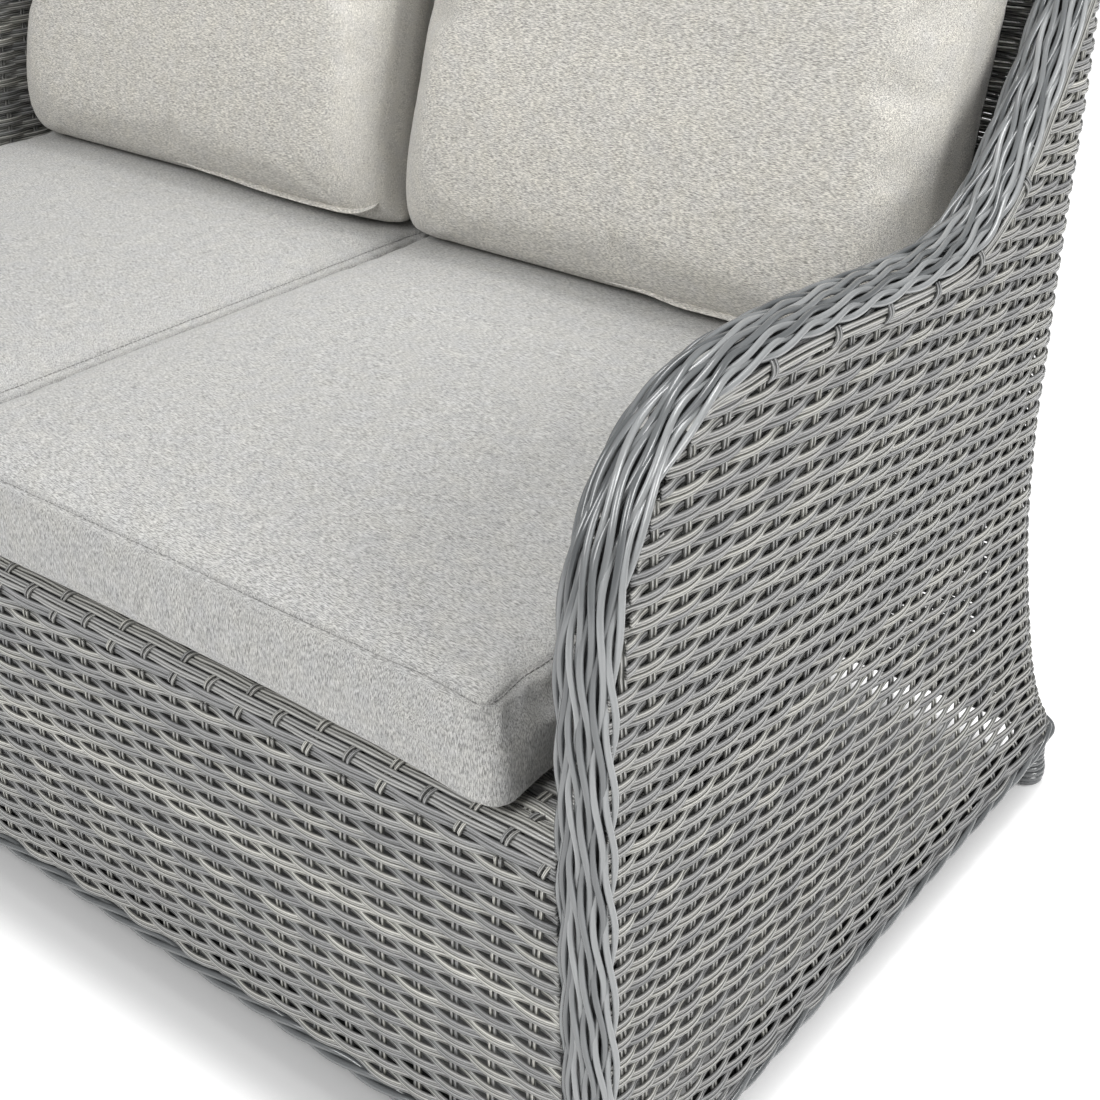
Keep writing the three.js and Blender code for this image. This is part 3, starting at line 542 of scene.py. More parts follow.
def fabric_material(name, tint, flat_from):
    """Heathered plain weave: pale yarns with greyer and warmer slubs, and a fine woven relief."""
    material, tree, shader = blank(name)
    where = own_place(tree)

    def yarns(stretch, scale, detail):
        lay = node(tree, "ShaderNodeMapping", {"Scale": stretch, "Vector": where})
        return noise(tree, lay.outputs[0], scale, detail)

    def heather(across, upright):
        weft = maths(tree, "MULTIPLY", yarns(across, WEFT_YARNS, 1), 0.74)
        warp = maths(tree, "MULTIPLY", yarns(upright, WARP_YARNS, 1), 0.26)
        return maths(tree, "ADD", weft, warp)

    flat = heather((0.14, 1, 1), (1, 0.5, 1))
    boxed = heather((1, 1, 0.14), (0.5, 0.5, 1))
    facing = node(tree, "ShaderNodeSeparateXYZ", {0: node(tree, "ShaderNodeNewGeometry").outputs["Normal"]})
    lies = ranged(tree, maths(tree, "ABSOLUTE", facing.outputs["Z"]), flat_from, flat_from + 0.15)
    both = maths(tree, "ADD", boxed, maths(tree, "MULTIPLY", lies, maths(tree, "SUBTRACT", flat, boxed)))
    dark = tuple(c * DARK_YARN for c in tint)
    light = tuple(min(c * LIGHT_YARN, 1) for c in tint)
    yarn = ramp(tree, both, [(0.38, dark), (0.5, tint), (0.62, light)])
    blotch = yarns((1, 1, 1), 60, 3)
    cloud = ramp(tree, blotch, [(0.3, (0.95, 0.955, 0.97)), (0.7, (1.0, 0.995, 0.975))])
    feed(shader, {
        "Base Color": multiplied(tree, yarn, cloud), "Roughness": 0.92, "Specular IOR Level": 0.2,
        "Sheen Weight": 0.25, "Sheen Roughness": 0.5,
    })
    bumped(tree, shader, both, 0.55, 0.0006)
    return material


# The back pillows wear the same fabric as the seats in a lighter tint: painted light on the pillows.
seat_fabric = fabric_material("seat_fabric", (0.440, 0.437, 0.425), 0.55)
back_fabric_painted_light = fabric_material("back_fabric_painted_light", (0.570, 0.552, 0.512), -0.2)


def weave_over(piece, *nodes):
    dress(piece, weave_material, "weave", "frame", *nodes)


def braid_over(piece, *nodes):
    dress(piece, braid_material, "braid", "frame", *nodes)


# The woven skins

def row_heights(low, high):
    return np.arange(low + ROW_PITCH / 2, high, ROW_PITCH)


def row_rise(s):
    """How much higher a weft row runs towards the front of an arm."""
    back = np.maximum(corner_start(SEAM_HEIGHT) - s, 0)
    return 4.2e-5 * back ** 2 + 5.6 * np.exp(-np.maximum(s, 0) / 70)


def split_s(z):
    return corner_start(z) + corner_r(z) * SPLIT_TURN


def outer_place(s, z, depth):
    return shell(s, z, SKIN_T / 2 - depth)


RIM_LAP = 3.0
OUTER_EDGE_S = 3.0
BORDER_LIFTS = (-0.5, 4.0)


def outer_row(z):
    """Which row of the outer skins runs at a height."""
    return (z - SKIN_BOTTOM_Z + ROWS_BELOW) / ROW_PITCH - 0.5


def outer_side(name_arm, name_corner, mirror):
    """The rows and stakes of one arm and of the rounded corner behind it."""
    arm, corner = Strands(), Strands()

    def under_rim(s, z):
        return (z < rim_z(s) + RIM_LAP) & (z > SKIN_BOTTOM_Z - 4)

    whole = Sheet(outer_place, phase, under_rim)

    def both_wefts(z, row, v, **looks):
        split = split_s(z)
        whole.weft(arm, OUTER_EDGE_S, split, row, v, **looks)
        whole.weft(corner, split, corner_end(z), row, v, **looks)

    for row, z in enumerate(row_heights(SKIN_BOTTOM_Z - ROWS_BELOW, TOP_RAIL_Z)):
        both_wefts(z, row, lambda s, z=z: z + row_rise(s), shade=rng.uniform(*WEFT_SHADES))
    for lift in BORDER_LIFTS:
        both_wefts(SKIN_BOTTOM_Z, lift, SKIN_BOTTOM_Z + lift, swing=1.2, shade=0.1)
    heights = np.arange(SKIN_BOTTOM_Z, TOP_RAIL_Z, STAKE_STEP)
    on_arm = Sheet(outer_place, phase, lambda s, z: under_rim(s, z) & (s < split_s(z)))
    on_corner = Sheet(outer_place, phase, lambda s, z: under_rim(s, z) & (s >= split_s(z)))
    on_arm.stakes(arm, range(0, ARM_COLUMNS + 2), heights, (12, 900), rows=outer_row)
    last = ARM_COLUMNS + CORNER_COLUMNS
    on_corner.stakes(corner, range(ARM_COLUMNS - 1, last), heights, (300, 1000), rows=outer_row)
    return arm.mesh(name_arm, mirror), corner.mesh(name_corner, mirror)


for side, mirror in SIDES:
    arm, corner = outer_side(f"outer_arm_strands_{side}", f"corner_strands_{side}", mirror)
    weave_over(arm, f"outer_arm_weave_{side}")
    weave_over(corner, f"corner_weave_{side}")


def flat_back_place(x, z, depth):
    return np.stack([x, back_y(z) - SKIN_T / 2 + depth, z + 0 * x], -1)


def back_phase(x, z):
    return ARM_COLUMNS + CORNER_COLUMNS + BACK_COLUMNS * (1 - x / corner_x(z))


def outer_back():
    """The rows of the back in two pieces, below and above the seat, and its stakes."""
    low, high, upright = Strands(), Strands(), Strands()

    def under_rim(x, z):
        s = corner_end(z) + corner_x(z) - np.abs(x)
        return (z < rim_z(s) + RIM_LAP) & (z > SKIN_BOTTOM_Z + 2) & (np.abs(x) <= corner_x(z) + 0.5)

    sheet = Sheet(flat_back_place, back_phase, under_rim, step=5.8)
    for row, z in enumerate(row_heights(SKIN_BOTTOM_Z - ROWS_BELOW, TOP_RAIL_Z + RIM_LAP)):
        half = corner_x(z)
        sheet.weft(low if z < SEAM_HEIGHT else high, half, -half, row, z)
    heights = np.arange(SKIN_BOTTOM_Z, TOP_RAIL_Z, STAKE_STEP)
    first = ARM_COLUMNS + CORNER_COLUMNS
    columns = range(-first - 2 * BACK_COLUMNS, -first + 1)
    flipped = Sheet(flat_back_place, lambda x, z: -back_phase(x, z), under_rim)
    flipped.stakes(upright, columns, heights, (-700, 700), rows=outer_row)
    parts = {"strands_low": low, "strands_high": high, "stakes": upright}
    return [strands.mesh(f"outer_back_{name}") for name, strands in parts.items()]


for piece in outer_back():
    weave_over(piece, "outer_back_weave")


LINING_BOTTOM = DECK_TOP + 2
NARROWS_Z = 690.0
INNER_STEP = 6.8


def inner_arm(name, mirror):
    """The lining of an arm, from the front leg to the rear post."""
    strands = Strands()

    def place(s, z, depth):
        return shell(s, z, SHELL_T - SKIN_T / 2 + depth)

    def inside(s, z):
        end = post_at(z)[..., 1] - FRAME_TUBE_R - 4 - 24 * smoothstep(z, NARROWS_Z, TOP_RAIL_Z)
        return (z < rim_z(s) - 1) & (z > LINING_BOTTOM) & (s < end)

    sheet = Sheet(place, lambda s, z: (s - FRONT_LEG_Y) / STAKE_PITCH, inside, step=INNER_STEP)
    for row, z in enumerate(row_heights(LINING_BOTTOM, 760)):
        sheet.weft(strands, 20.0, 700.0, row, z, width=4.8, swing=2.2)
    sheet.stakes(strands, range(1, 20), np.arange(LINING_BOTTOM, 780, 10.0), (16, 720))
    return strands.mesh(name, mirror)


for side, mirror in SIDES:
    weave_over(inner_arm(f"inner_arm_strands_{side}", mirror), f"inner_arm_weave_{side}")


def inner_back():
    """The lining of the back, between the rear posts."""
    strands = Strands()
    top = TOP_RAIL_Z - 4

    def place(x, z, depth):
        return np.stack([x, back_y(z) - BACK_SHELL_T + SKIN_T / 2 - depth, z + 0 * x], -1)

    def half_at(z):
        post_x = post_at(np.minimum(z, NARROWS_Z))[..., 0]
        return post_x - FRAME_TUBE_R - 3 - 78 * smoothstep(z, NARROWS_Z, TOP_RAIL_Z)

    def inside(x, z):
        return (np.abs(x) < half_at(z)) & (z < top)

    sheet = Sheet(place, lambda x, z: x / STAKE_PITCH, inside, step=INNER_STEP)
    for row, z in enumerate(row_heights(LINING_BOTTOM, top)):
        half = float(half_at(z))
        sheet.weft(strands, -half, half, row, z, swing=2.6)
    sheet.stakes(strands, range(-18, 19), np.arange(LINING_BOTTOM, top, 12.0), (-640, 640))
    return strands.mesh("inner_back_strands")


weave_over(inner_back(), "inner_back_weave")


# The front: an apron of level rows, and thicker rows tied over the seat rail

RAIL_ROWS = 4
RAIL_ROW_PITCH = 10.9
WRAP_R = (SKIN_IN + SKIN_OUT) / 2
BRAID_REACH = BRAID_R * math.sin(math.radians(44)) + 1
FIRST_RAIL_ROW = RAIL_Z - 7.5
CLOSE_STEPS_FROM = FIRST_RAIL_ROW - 8


def apron_place(x, v, depth):
    """v is height up to the rail and then distance over its top."""
    x, v, depth = np.broadcast_arrays(*(np.asarray(a, float) for a in (x, v, depth)))
    over = np.maximum(v - RAIL_Z, 0) / WRAP_R
    radius = WRAP_R + depth
    y = FRONT_LEG_Y - radius * np.cos(over)
    z = np.minimum(v, RAIL_Z) + radius * np.sin(over)
    return np.stack([x, y, z], -1)


def apron_half(v):
    low = arm_x(FRONT_LEG_Y, SKIN_BOTTOM_Z)
    high = arm_x(FRONT_LEG_Y, RAIL_Z)
    t = np.clip((v - SKIN_BOTTOM_Z) / (RAIL_Z - SKIN_BOTTOM_Z), 0, 1)
    return low + (high - low) * t - BRAID_REACH


def apron_phase(x, v):
    shift = 0.05 * (v - SEAM_HEIGHT) + 4 * np.maximum(v - FIRST_RAIL_ROW, 0) / RAIL_ROW_PITCH
    return (x - shift) / STAKE_PITCH


def apron_rows(v):
    plain = (v - FIRST_RAIL_ROW) / APRON_ROW_PITCH
    thick = (v - FIRST_RAIL_ROW) / RAIL_ROW_PITCH
    return np.where(v < FIRST_RAIL_ROW, plain, thick) - 0.5


def on_apron(x, v):
    return (np.abs(x) <= apron_half(v)) & (v > SKIN_BOTTOM_Z + 2)


def front():
    apron, wrap = Strands(), Strands()
    sheet = Sheet(apron_place, apron_phase, on_apron)
    count = int((FIRST_RAIL_ROW - SKIN_BOTTOM_Z) / APRON_ROW_PITCH)
    for i in range(count):
        v = FIRST_RAIL_ROW - (i + 0.5) * APRON_ROW_PITCH
        half = float(apron_half(v))
        sheet.weft(apron, half, -half, -1 - i, v, width=STRAND_W + 0.2)
    for i in range(RAIL_ROWS):
        v = FIRST_RAIL_ROW + (i + 0.5) * RAIL_ROW_PITCH
        half = float(apron_half(v))
        target = apron if i == 0 else wrap
        sheet.weft(target, half, -half, i, v, width=5.3, swing=0.9)
    heights = np.r_[
        np.arange(SKIN_BOTTOM_Z, CLOSE_STEPS_FROM, STAKE_STEP),
        np.arange(CLOSE_STEPS_FROM, FIRST_RAIL_ROW, 2.7),
    ]
    sheet.stakes(apron, range(-20, 21), heights, (-720, 720), rows=apron_rows)
    over = np.arange(FIRST_RAIL_ROW, FIRST_RAIL_ROW + RAIL_ROWS * RAIL_ROW_PITCH, RAIL_ROW_PITCH / 8)
    sheet.stakes(wrap, range(-20, 22), over, (-760, 760), sway=2.1, rows=apron_rows, width=2.9)
    return apron.mesh("front_apron_strands"), wrap.mesh("front_rail_strands")


apron, rail_wrap = front()
weave_over(apron, "front_apron_weave")
weave_over(rail_wrap, "front_rail_wrap")


def deck():
    """The woven bed under the seat cushions."""
    strands = Strands()
    front_y = FRONT_LEG_Y + 6
    rear_y = float(back_y(DECK_TOP)) - BACK_SHELL_T + SKIN_T - 3

    def place(x, y, depth):
        return np.stack([x, y + 0 * x, DECK_TOP - SKIN_T / 2 + depth + 0 * x], -1)

    def half_at(y):
        side = arm_x(y, DECK_TOP) + 4
        near_leg = (y < FRONT_LEG_Y + 14) | (y > post_at(RAIL_Z)[1] - 14)
        return np.where(near_leg, side - 32, side)

    sheet = Sheet(place, lambda x, y: x / STAKE_PITCH, lambda x, y: np.abs(x) <= half_at(y), step=8.5)
    for row, y in enumerate(np.arange(front_y + 5, rear_y, 10.5)):
        half = float(half_at(y))
        sheet.weft(strands, -half, half, row, y, width=5.2, swing=2.0)
    sheet.stakes(strands, range(-19, 20), np.arange(front_y, rear_y, 14.0), (-690, 690))
    return strands.mesh("seat_deck_strands")


weave_over(deck(), "seat_deck_weave")


# Braids, ropes and wrapped feet

def rim_line():
    """The line of the rim tube from a front foot to the middle of the back, with its outward directions."""
    leg = np.stack([np.full(60, FRONT_LEG_Y), np.linspace(BRAID_START_Z, LEG_TOP_Z - 2, 60)], -1)
    far = TOP_START[0] + float(corner_x(TOP_RAIL_Z)) - 30
    top = np.stack([np.linspace(TOP_START[0] + 6, far, 80), np.full(80, TOP_RAIL_Z)], -1)
    flat = resampled(np.vstack([leg, RIM, top]), 3.0)
    inset = SKIN_OUT + 0.8 * np.sin(turn_at(flat[:, 0], flat[:, 1]))
    centre = shell(flat[:, 0], flat[:, 1], inset)
    out = unit(shell(flat[:, 0], flat[:, 1], 0) - shell(flat[:, 0], flat[:, 1], 8))
    centre = eased(centre, 25)
    ahead = unit(np.gradient(centre, axis=0))
    side = square_to(ahead, eased(out, 25))
    return flat, centre, ahead, side, np.cross(side, ahead)


rim_flat, rim_centre, rim_ahead, rim_side, rim_up = rim_line()
rim_run = along_line(rim_centre)


def round_tube(angle):
    """Directions away from the rim tube and round it, at an angle from its crown towards the inside."""
    a = np.radians(angle)[..., None]
    away = rim_up * np.cos(a) - rim_side * np.sin(a)
    round_it = -rim_up * np.sin(a) - rim_side * np.cos(a)
    return away, round_it


def plait(strands, keep):
    """Two-ply cords side by side over the crown of the rim, laid one way outside and the other inside."""
    for index, angle in enumerate(BRAID_ANGLES):
        hand = 1 if angle < 20 else -1
        away, round_it = round_tube(angle)
        away, round_it = away[keep], round_it[keep]
        centre = rim_centre[keep] + away * (BRAID_R - BRAID_LAY_DEEP - BRAID_STRAND_R)
        tones = rng.random(2)
        for ply in range(2):
            wander = 0.35 * np.sin(rim_run[keep] / 61 + index * 2.1 + ply)
            turn = hand * 2 * np.pi * rim_run[keep] / BRAID_PITCH + np.pi * ply + index * 1.9 + wander
            deep = BRAID_LAY_DEEP * np.cos(turn)[:, None] * away
            line = centre + deep + BRAID_LAY_ACROSS * np.sin(turn)[:, None] * round_it
            thick = 2 * BRAID_STRAND_R
            strands.add(line, round_it, away, thick, thick, tones[ply], sides=8)


def plain_strand(strands, line, out, width, thick, tone):
    ahead = unit(np.gradient(line, axis=0))
    out = square_to(ahead, out)
    strands.add(line, np.cross(out, ahead), out, width, thick, tone)


ARM_BRAID_END_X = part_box("arm_braid_right")[0].x * METRE
arm_part = rim_centre[:, 0] >= ARM_BRAID_END_X
top_part = (rim_centre[:, 0] <= ARM_BRAID_END_X + 3) & (rim_centre[:, 0] >= -0.5)
top_part &= rim_flat[:, 1] > TOP_RAIL_Z - 2


def braid(name, keep, mirror):
    strands = Strands()
    plait(strands, keep)
    return strands.mesh(name, mirror)


for side, mirror in SIDES:
    braid_over(braid(f"arm_plait_{side}", arm_part, mirror), f"arm_braid_{side}")
    braid_over(braid(f"back_top_plait_{side}", top_part, mirror), "back_top_braid")


BAND_START = 84.0
TIES_END = 590.0
TIE_POINTS = 9
BAND_STRANDS = ((-80, 21.6, 0.62), (-95, 21.2, 0.72))


def border_band(name, mirror):
    """Two strands under the outer edge of the braid, tied at every second stake."""
    strands = Strands()
    begin = np.searchsorted(rim_flat[:, 0], BAND_START)
    ease = smoothstep(rim_run, rim_run[begin], rim_run[begin] + 70)
    span = slice(begin, None)
    closer = 9 * smoothstep(rim_flat[:, 0], TIES_END - 30, TIES_END + 40)
    for base, radius, tone in BAND_STRANDS:
        away, _ = round_tube(-62 + (base + 62) * ease + closer)
        line = rim_centre + away * radius
        plain_strand(strands, line[span], away[span], 4.6, 2.6, tone)
    turn = np.radians(np.linspace(-71, -104, TIE_POINTS))
    slant = np.linspace(1.5, -1.5, TIE_POINTS)
    bulge = 21.8 + 2.2 * np.sin(np.linspace(0.1, np.pi - 0.1, TIE_POINTS))
    column = phase(rim_flat[:, 0], rim_flat[:, 1])
    for k in range(4, ARM_COLUMNS, 2):
        at = int(np.argmin(np.abs(column - k) + 100 * (rim_flat[:, 0] < 100)))
        if abs(column[at] - k) > 0.3 or rim_flat[at, 0] > TIES_END:
            continue
        away = rim_up[at] * np.cos(turn)[:, None] - rim_side[at] * np.sin(turn)[:, None]
        for aside in (-2.1, 2.1):
            line = rim_centre[at] + away * bulge[:, None] + rim_ahead[at] * (slant + aside)[:, None]
            plain_strand(strands, line, away, 4.1, 2.2, rng.uniform(0.2, 0.5))
    return strands.mesh(name, mirror)


for side, mirror in SIDES:
    weave_over(border_band(f"rim_band_{side}", mirror))


ROPE_R = 6.0
ROPE_PITCH = 125.0
ROPE_PLIES = 3
ROPE_IN = (SKIN_IN + SKIN_OUT) / 2 - 1


def rope(strands, line):
    """Strands twisted about a level line."""
    ahead = unit(np.gradient(line, axis=0))
    out = square_to(ahead, np.cross(ahead, (0.0, 0.0, 1.0)))
    side = np.cross(out, ahead)
    run = along_line(line)
    ply_r = ROPE_R * 0.464
    for ply in range(ROPE_PLIES):
        turn = 2 * np.pi * (run / ROPE_PITCH + ply / ROPE_PLIES)
        arm = np.cos(turn)[:, None] * out + np.sin(turn)[:, None] * side
        tone = rng.uniform(0.0, 0.45)
        strands.add(line + arm * (ROPE_R - ply_r), side, out, 2 * ply_r, 2 * ply_r, tone, sides=8)


FRONT_FOOT = np.array([float(arm_x(FRONT_LEG_Y, 62.0)), FRONT_LEG_Y])
REAR_FOOT = post_at(SKIN_BOTTOM_Z)[:2]
LEG_LOOP_R = 19.5


def arc(centre, radius, start, end, count):
    a = np.radians(np.linspace(start, end, count))
    return np.stack([centre[0] + radius * np.cos(a), centre[1] + radius * np.sin(a)], -1)


def border_side(name, mirror):
    """The rope along the foot of an arm, turned round both legs."""
    front = arc(FRONT_FOOT, LEG_LOOP_R, -100, -4, 12)
    rear = arc(REAR_FOOT, LEG_LOOP_R, 4, 96, 12)
    ys = np.linspace(front[-1][1] + 14, rear[0][1] - 16, 40)
    side = np.stack([arm_x(ys, ROPE_Z) + ROPE_IN, ys], -1)
    flat = resampled(np.vstack([front, side, rear]), 2.5)
    rise = 8 * smoothstep(flat[:, 1], rear[0][1] - 50, rear[0][1])
    strands = Strands()
    rope(strands, np.column_stack([flat, ROPE_Z + rise]))
    return strands.mesh(name, mirror)


for side, mirror in SIDES:
    braid_over(border_side(f"border_twist_side_{side}", mirror), f"border_rope_side_{side}")


def border_cross(name, y, half):
    strands = Strands()
    x = np.arange(-half, half + 1, 2.5)
    rope(strands, np.stack([x, y + 0 * x, ROPE_Z + 0 * x], -1))
    return strands.mesh(name)


ROPE_BACK_Y = float(back_y(ROPE_Z)) - SKIN_OUT + ROPE_IN
braid_over(border_cross("border_twist_front", FRONT_LEG_Y - ROPE_IN, FRONT_FOOT[0] - 4), "border_rope_front")
braid_over(border_cross("border_twist_back", ROPE_BACK_Y, REAR_FOOT[0] - 4), "border_rope_back")


FOOT_PITCH = 5.4
FOOT_LOW, FOOT_HIGH = 5.2, 45.0
FOOT_OUT = {"front": 0.0, "rear": 4.0}


def foot_wrap(name, centre, mirror):
    """A strand wound round a foot in rings, fuller near the ground."""
    strands = Strands()
    turns = (FOOT_HIGH - FOOT_LOW) / FOOT_PITCH + 2
    a = np.linspace(0, 2 * np.pi * turns, int(turns * 28))
    z = np.clip(FOOT_LOW + FOOT_PITCH * (a / (2 * np.pi) - 1), FOOT_LOW, FOOT_HIGH)
    radius = 13.6 + 2.8 * np.exp(-((z - 14) / 11) ** 2)
    away = np.stack([np.cos(a), np.sin(a), 0 * a], -1)
    line = np.column_stack([centre[0] + radius * np.cos(a), centre[1] + radius * np.sin(a), z])
    upright = np.tile([0.0, 0, 1.0], (len(a), 1))
    strands.add(line, upright, away, FOOT_PITCH + 0.2, 3.8, 0.3, sides=8)
    return strands.mesh(name, mirror)


for end, centre in (("front", FRONT_FOOT), ("rear", REAR_FOOT)):
    for side, mirror in SIDES:
        wound = foot_wrap(f"{end}_foot_rings_{side}", centre + (FOOT_OUT[end], 0), mirror)
        braid_over(wound, f"{end}_foot_wrap_{side}")


# Cushions

def rounded_shell(cells, shape):
    """A closed grid over a box, each point moved by shape(u, v, w) from the box's -1..1 to millimetres."""
    nx, ny, nz = cells
    index, co, quads = {}, [], []

    def vertex(i, j, k):
        if (i, j, k) not in index:
            index[i, j, k] = len(co)
            co.append((2 * i / nx - 1, 2 * j / ny - 1, 2 * k / nz - 1))
        return index[i, j, k]

    left = ((0, 0), (1, 0), (1, 1), (0, 1))
    right = ((0, 0), (0, 1), (1, 1), (1, 0))
    walls = ((2, (nz, left), (0, right)), (1, (0, left), (ny, right)), (0, (0, right), (nx, left)))
    for axis, *ends in walls:
        across, up = (count for other, count in enumerate(cells) if other != axis)
        for (i, j), (end, corners) in product(np.ndindex(across, up), ends):
            quad = [[i + a, j + b] for a, b in corners]
            for point in quad:
                point.insert(axis, end)
            quads.append([vertex(*point) for point in quad])
    u, v, w = np.array(co).T
    return shape(u, v, w), quads


def mesh_object(name, co, faces):
    mesh = bpy.data.meshes.new(name)
    mesh.from_pydata((co / METRE).tolist(), [], faces)
    mesh.update()
    return placed(name, mesh)


def points_of(mesh):
    co = np.zeros(len(mesh.vertices) * 3)
    mesh.vertices.foreach_get("co", co)
    return co.reshape(-1, 3)


def applied(piece):
    """Writes the piece's modifiers into its mesh."""
    graph = bpy.context.evaluated_depsgraph_get()
    mesh = bpy.data.meshes.new_from_object(piece.evaluated_get(graph))
    piece.modifiers.clear()
    piece.data = mesh


PRESSURE = 4.0
CLOTH_FRAMES = 20


def inflated(piece, voxel, cap):
    """Blows the piece up as stuffed cloth, no point moving further than the cap."""
    remesh = piece.modifiers.new("even", "REMESH")
    remesh.mode = "VOXEL"
    remesh.voxel_size = voxel / METRE
    applied(piece)
    rest = points_of(piece.data)
    cloth = piece.modifiers.new("cloth", "CLOTH").settings
    cloth.quality = 4
    cloth.mass = 0.3
    cloth.tension_stiffness = 20
    cloth.compression_stiffness = 20
    cloth.bending_stiffness = 2.0
    cloth.use_pressure = True
    cloth.uniform_pressure_force = PRESSURE
    cloth.effector_weights.gravity = 0
    scene = bpy.context.scene
    for number in range(1, CLOTH_FRAMES + 1):
        scene.frame_set(number)
    graph = bpy.context.evaluated_depsgraph_get()
    moved = points_of(piece.evaluated_get(graph).data)
    piece.modifiers.clear()
    scene.frame_set(1)
    step = moved - rest
    size = np.linalg.norm(step, axis=1, keepdims=True)
    step *= np.minimum(1, cap / METRE / np.maximum(size, 1e-9))
    piece.data.vertices.foreach_set("co", (rest + step).ravel())
    fine = piece.modifiers.new("fine", "SUBSURF")
    fine.levels = 1
    fine.render_levels = 1
    applied(piece)
    piece.data.polygons.foreach_set("use_smooth", np.ones(len(piece.data.polygons), bool))
    piece.data.update()


def bumps(p, scale, seed):
    """Smooth unevenness, from a few waves across each other."""
    draw = np.random.default_rng(seed)
    total = np.zeros(len(p))
    for _ in range(7):
        way = draw.normal(size=3)
        way /= np.linalg.norm(way)
        total += np.sin(p @ way / scale * draw.uniform(0.7, 1.6) + draw.uniform(0, 6.3))
    return total / 7


def moulded(name, base, p, mirror):
    """A copy of the base mesh with its points at p, in millimetres."""
    mesh = base.copy()
    mesh.name = name
    if mirror:
        p = p * (-1, 1, 1)
        mesh.flip_normals()
    mesh.vertices.foreach_set("co", (p / METRE).ravel())
    mesh.update()
    return placed(name, mesh)


def blown(cells, shape, voxel, cap):
    """The mesh of a stuffed shape, blown up once and used for both sides."""
    co, faces = rounded_shell(cells, shape)
    piece = mesh_object("stuffing", co, faces)
    inflated(piece, voxel, cap)
    mesh = piece.data
    bpy.data.objects.remove(piece)
    return mesh


def surface_of(piece):
    return BVHTree.FromObject(piece, bpy.context.evaluated_depsgraph_get())


SEAT_LOW, SEAT_HIGH = (np.array(corner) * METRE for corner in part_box("seat_cushion_right"))
SEAT_MID = (SEAT_LOW + SEAT_HIGH) / 2
SEAT_MID[2] = (SEAT_LOW[2] + SEAM_HEIGHT) / 2
SEAT_HALF = np.array([*(SEAT_HIGH - SEAT_LOW)[:2] / 2 - 2.5, (SEAM_HEIGHT - SEAT_LOW[2]) / 2])
SEAM_CORNER_R = 13.0
SEAT_CORNER_R = 25.0
SEAT_EDGE_R = 6.0
SEAT_CROWN = 14.5
SEAT_FOOT_OUT = 7.0
SEAT_FOOT_HIGH = 20.0
SEAM_BELOW_EDGE = 3.0


def seat_shape(u, v, w):
    p = np.stack([u, v, w], -1) * SEAT_HALF
    corner_r = SEAM_CORNER_R + (SEAT_CORNER_R - SEAM_CORNER_R) * smoothstep(-w, -1.0, -0.5)
    soft = np.stack([corner_r, corner_r, np.full(len(p), SEAT_EDGE_R)], -1)
    core = np.clip(p, soft - SEAT_HALF, SEAT_HALF - soft)
    q = (p - core) / soft
    size = np.maximum((np.abs(q) ** 3.2).sum(-1), 1e-12) ** (1 / 3.2)
    q *= (np.abs(q).max(-1) / size)[:, None]
    p = core + q * soft
    crown = SEAT_CROWN * (1 - np.abs(u) ** 4) * (1 - np.abs(v) ** 4)
    p[:, 2] += np.where(w > 0, crown * w, 0)
    front = smoothstep(-v, 0.75, 1) * np.clip(-w, 0, 1)
    p[:, 2] += 9 * front * (1 - np.abs(u) ** 2.5)
    swell = 1 - ((w + 0.25) / 1.25) ** 2
    p[:, 0] += np.sign(u) * np.abs(u) ** 10 * 8.5 * swell * (1 - 0.4 * v ** 8)
    p[:, 1] += np.sign(v) * np.abs(v) ** 10 * 5.0 * swell * (1 - 0.6 * u ** 8)
    p[:, 0] += np.sign(u) * (u * v) ** 8 * (v < 0) * 5.0 * smoothstep(-w, -0.8, 0.6)
    return p + SEAT_MID


seat_base = blown((104, 110, 16), seat_shape, 5.0, 5.0)


def seat_cushion(name, mirror, seed):
    """A seat pad with its seam pulled in under the top edge and small puckers below it."""
    p = points_of(seat_base) * METRE
    p[:, 2] += 1.2 * bumps(p, 40, seed) * (p[:, 2] > SEAT_LOW[2] + 30)
    p[:, 2] = np.maximum(p[:, 2], SEAT_LOW[2])
    plan = np.abs(p[:, :2] - SEAT_MID[:2]) / SEAT_HALF[:2]
    edge = smoothstep(plan.max(-1), 0.93, 0.965)
    over = p[:, 2] - (SEAM_HEIGHT - SEAM_BELOW_EDGE)
    pull = unit((p[:, :2] - SEAT_MID[:2]) * (plan >= plan.max(-1, keepdims=True) - 0.03))
    corner = np.clip(plan.min(-1), 0, 1) ** 12
    run = p[:, 0] * pull[:, 1] ** 2 + p[:, 1] * pull[:, 0] ** 2
    fold = np.sin(run / 5.2 + 3 * np.sin(run / 31 + seed))
    fold = fold * np.exp(-np.abs(over + 7) / 16) * smoothstep(-over, 0, 7)
    ridge = 0.5 * np.exp(-((over - 4) / 2.4) ** 2)
    depth = 1.7 * np.exp(-(over / 2.0) ** 2) - ridge + (0.5 + 2.2 * corner) * fold
    foot = np.clip(1 - (p[:, 2] - SEAT_LOW[2]) / SEAT_FOOT_HIGH, 0, 1) ** 2
    foot *= SEAT_FOOT_OUT * (1 + 0.35 * corner)
    p[:, :2] += pull * (foot * smoothstep(plan.max(-1), 0.88, 0.96) - depth * edge)[:, None]
    return moulded(name, seat_base, p, mirror)


STITCH, STITCH_GAP = 3.8, 1.0
THREAD_W, THREAD_T = 0.75, 0.8
SEAM_CORE = 24


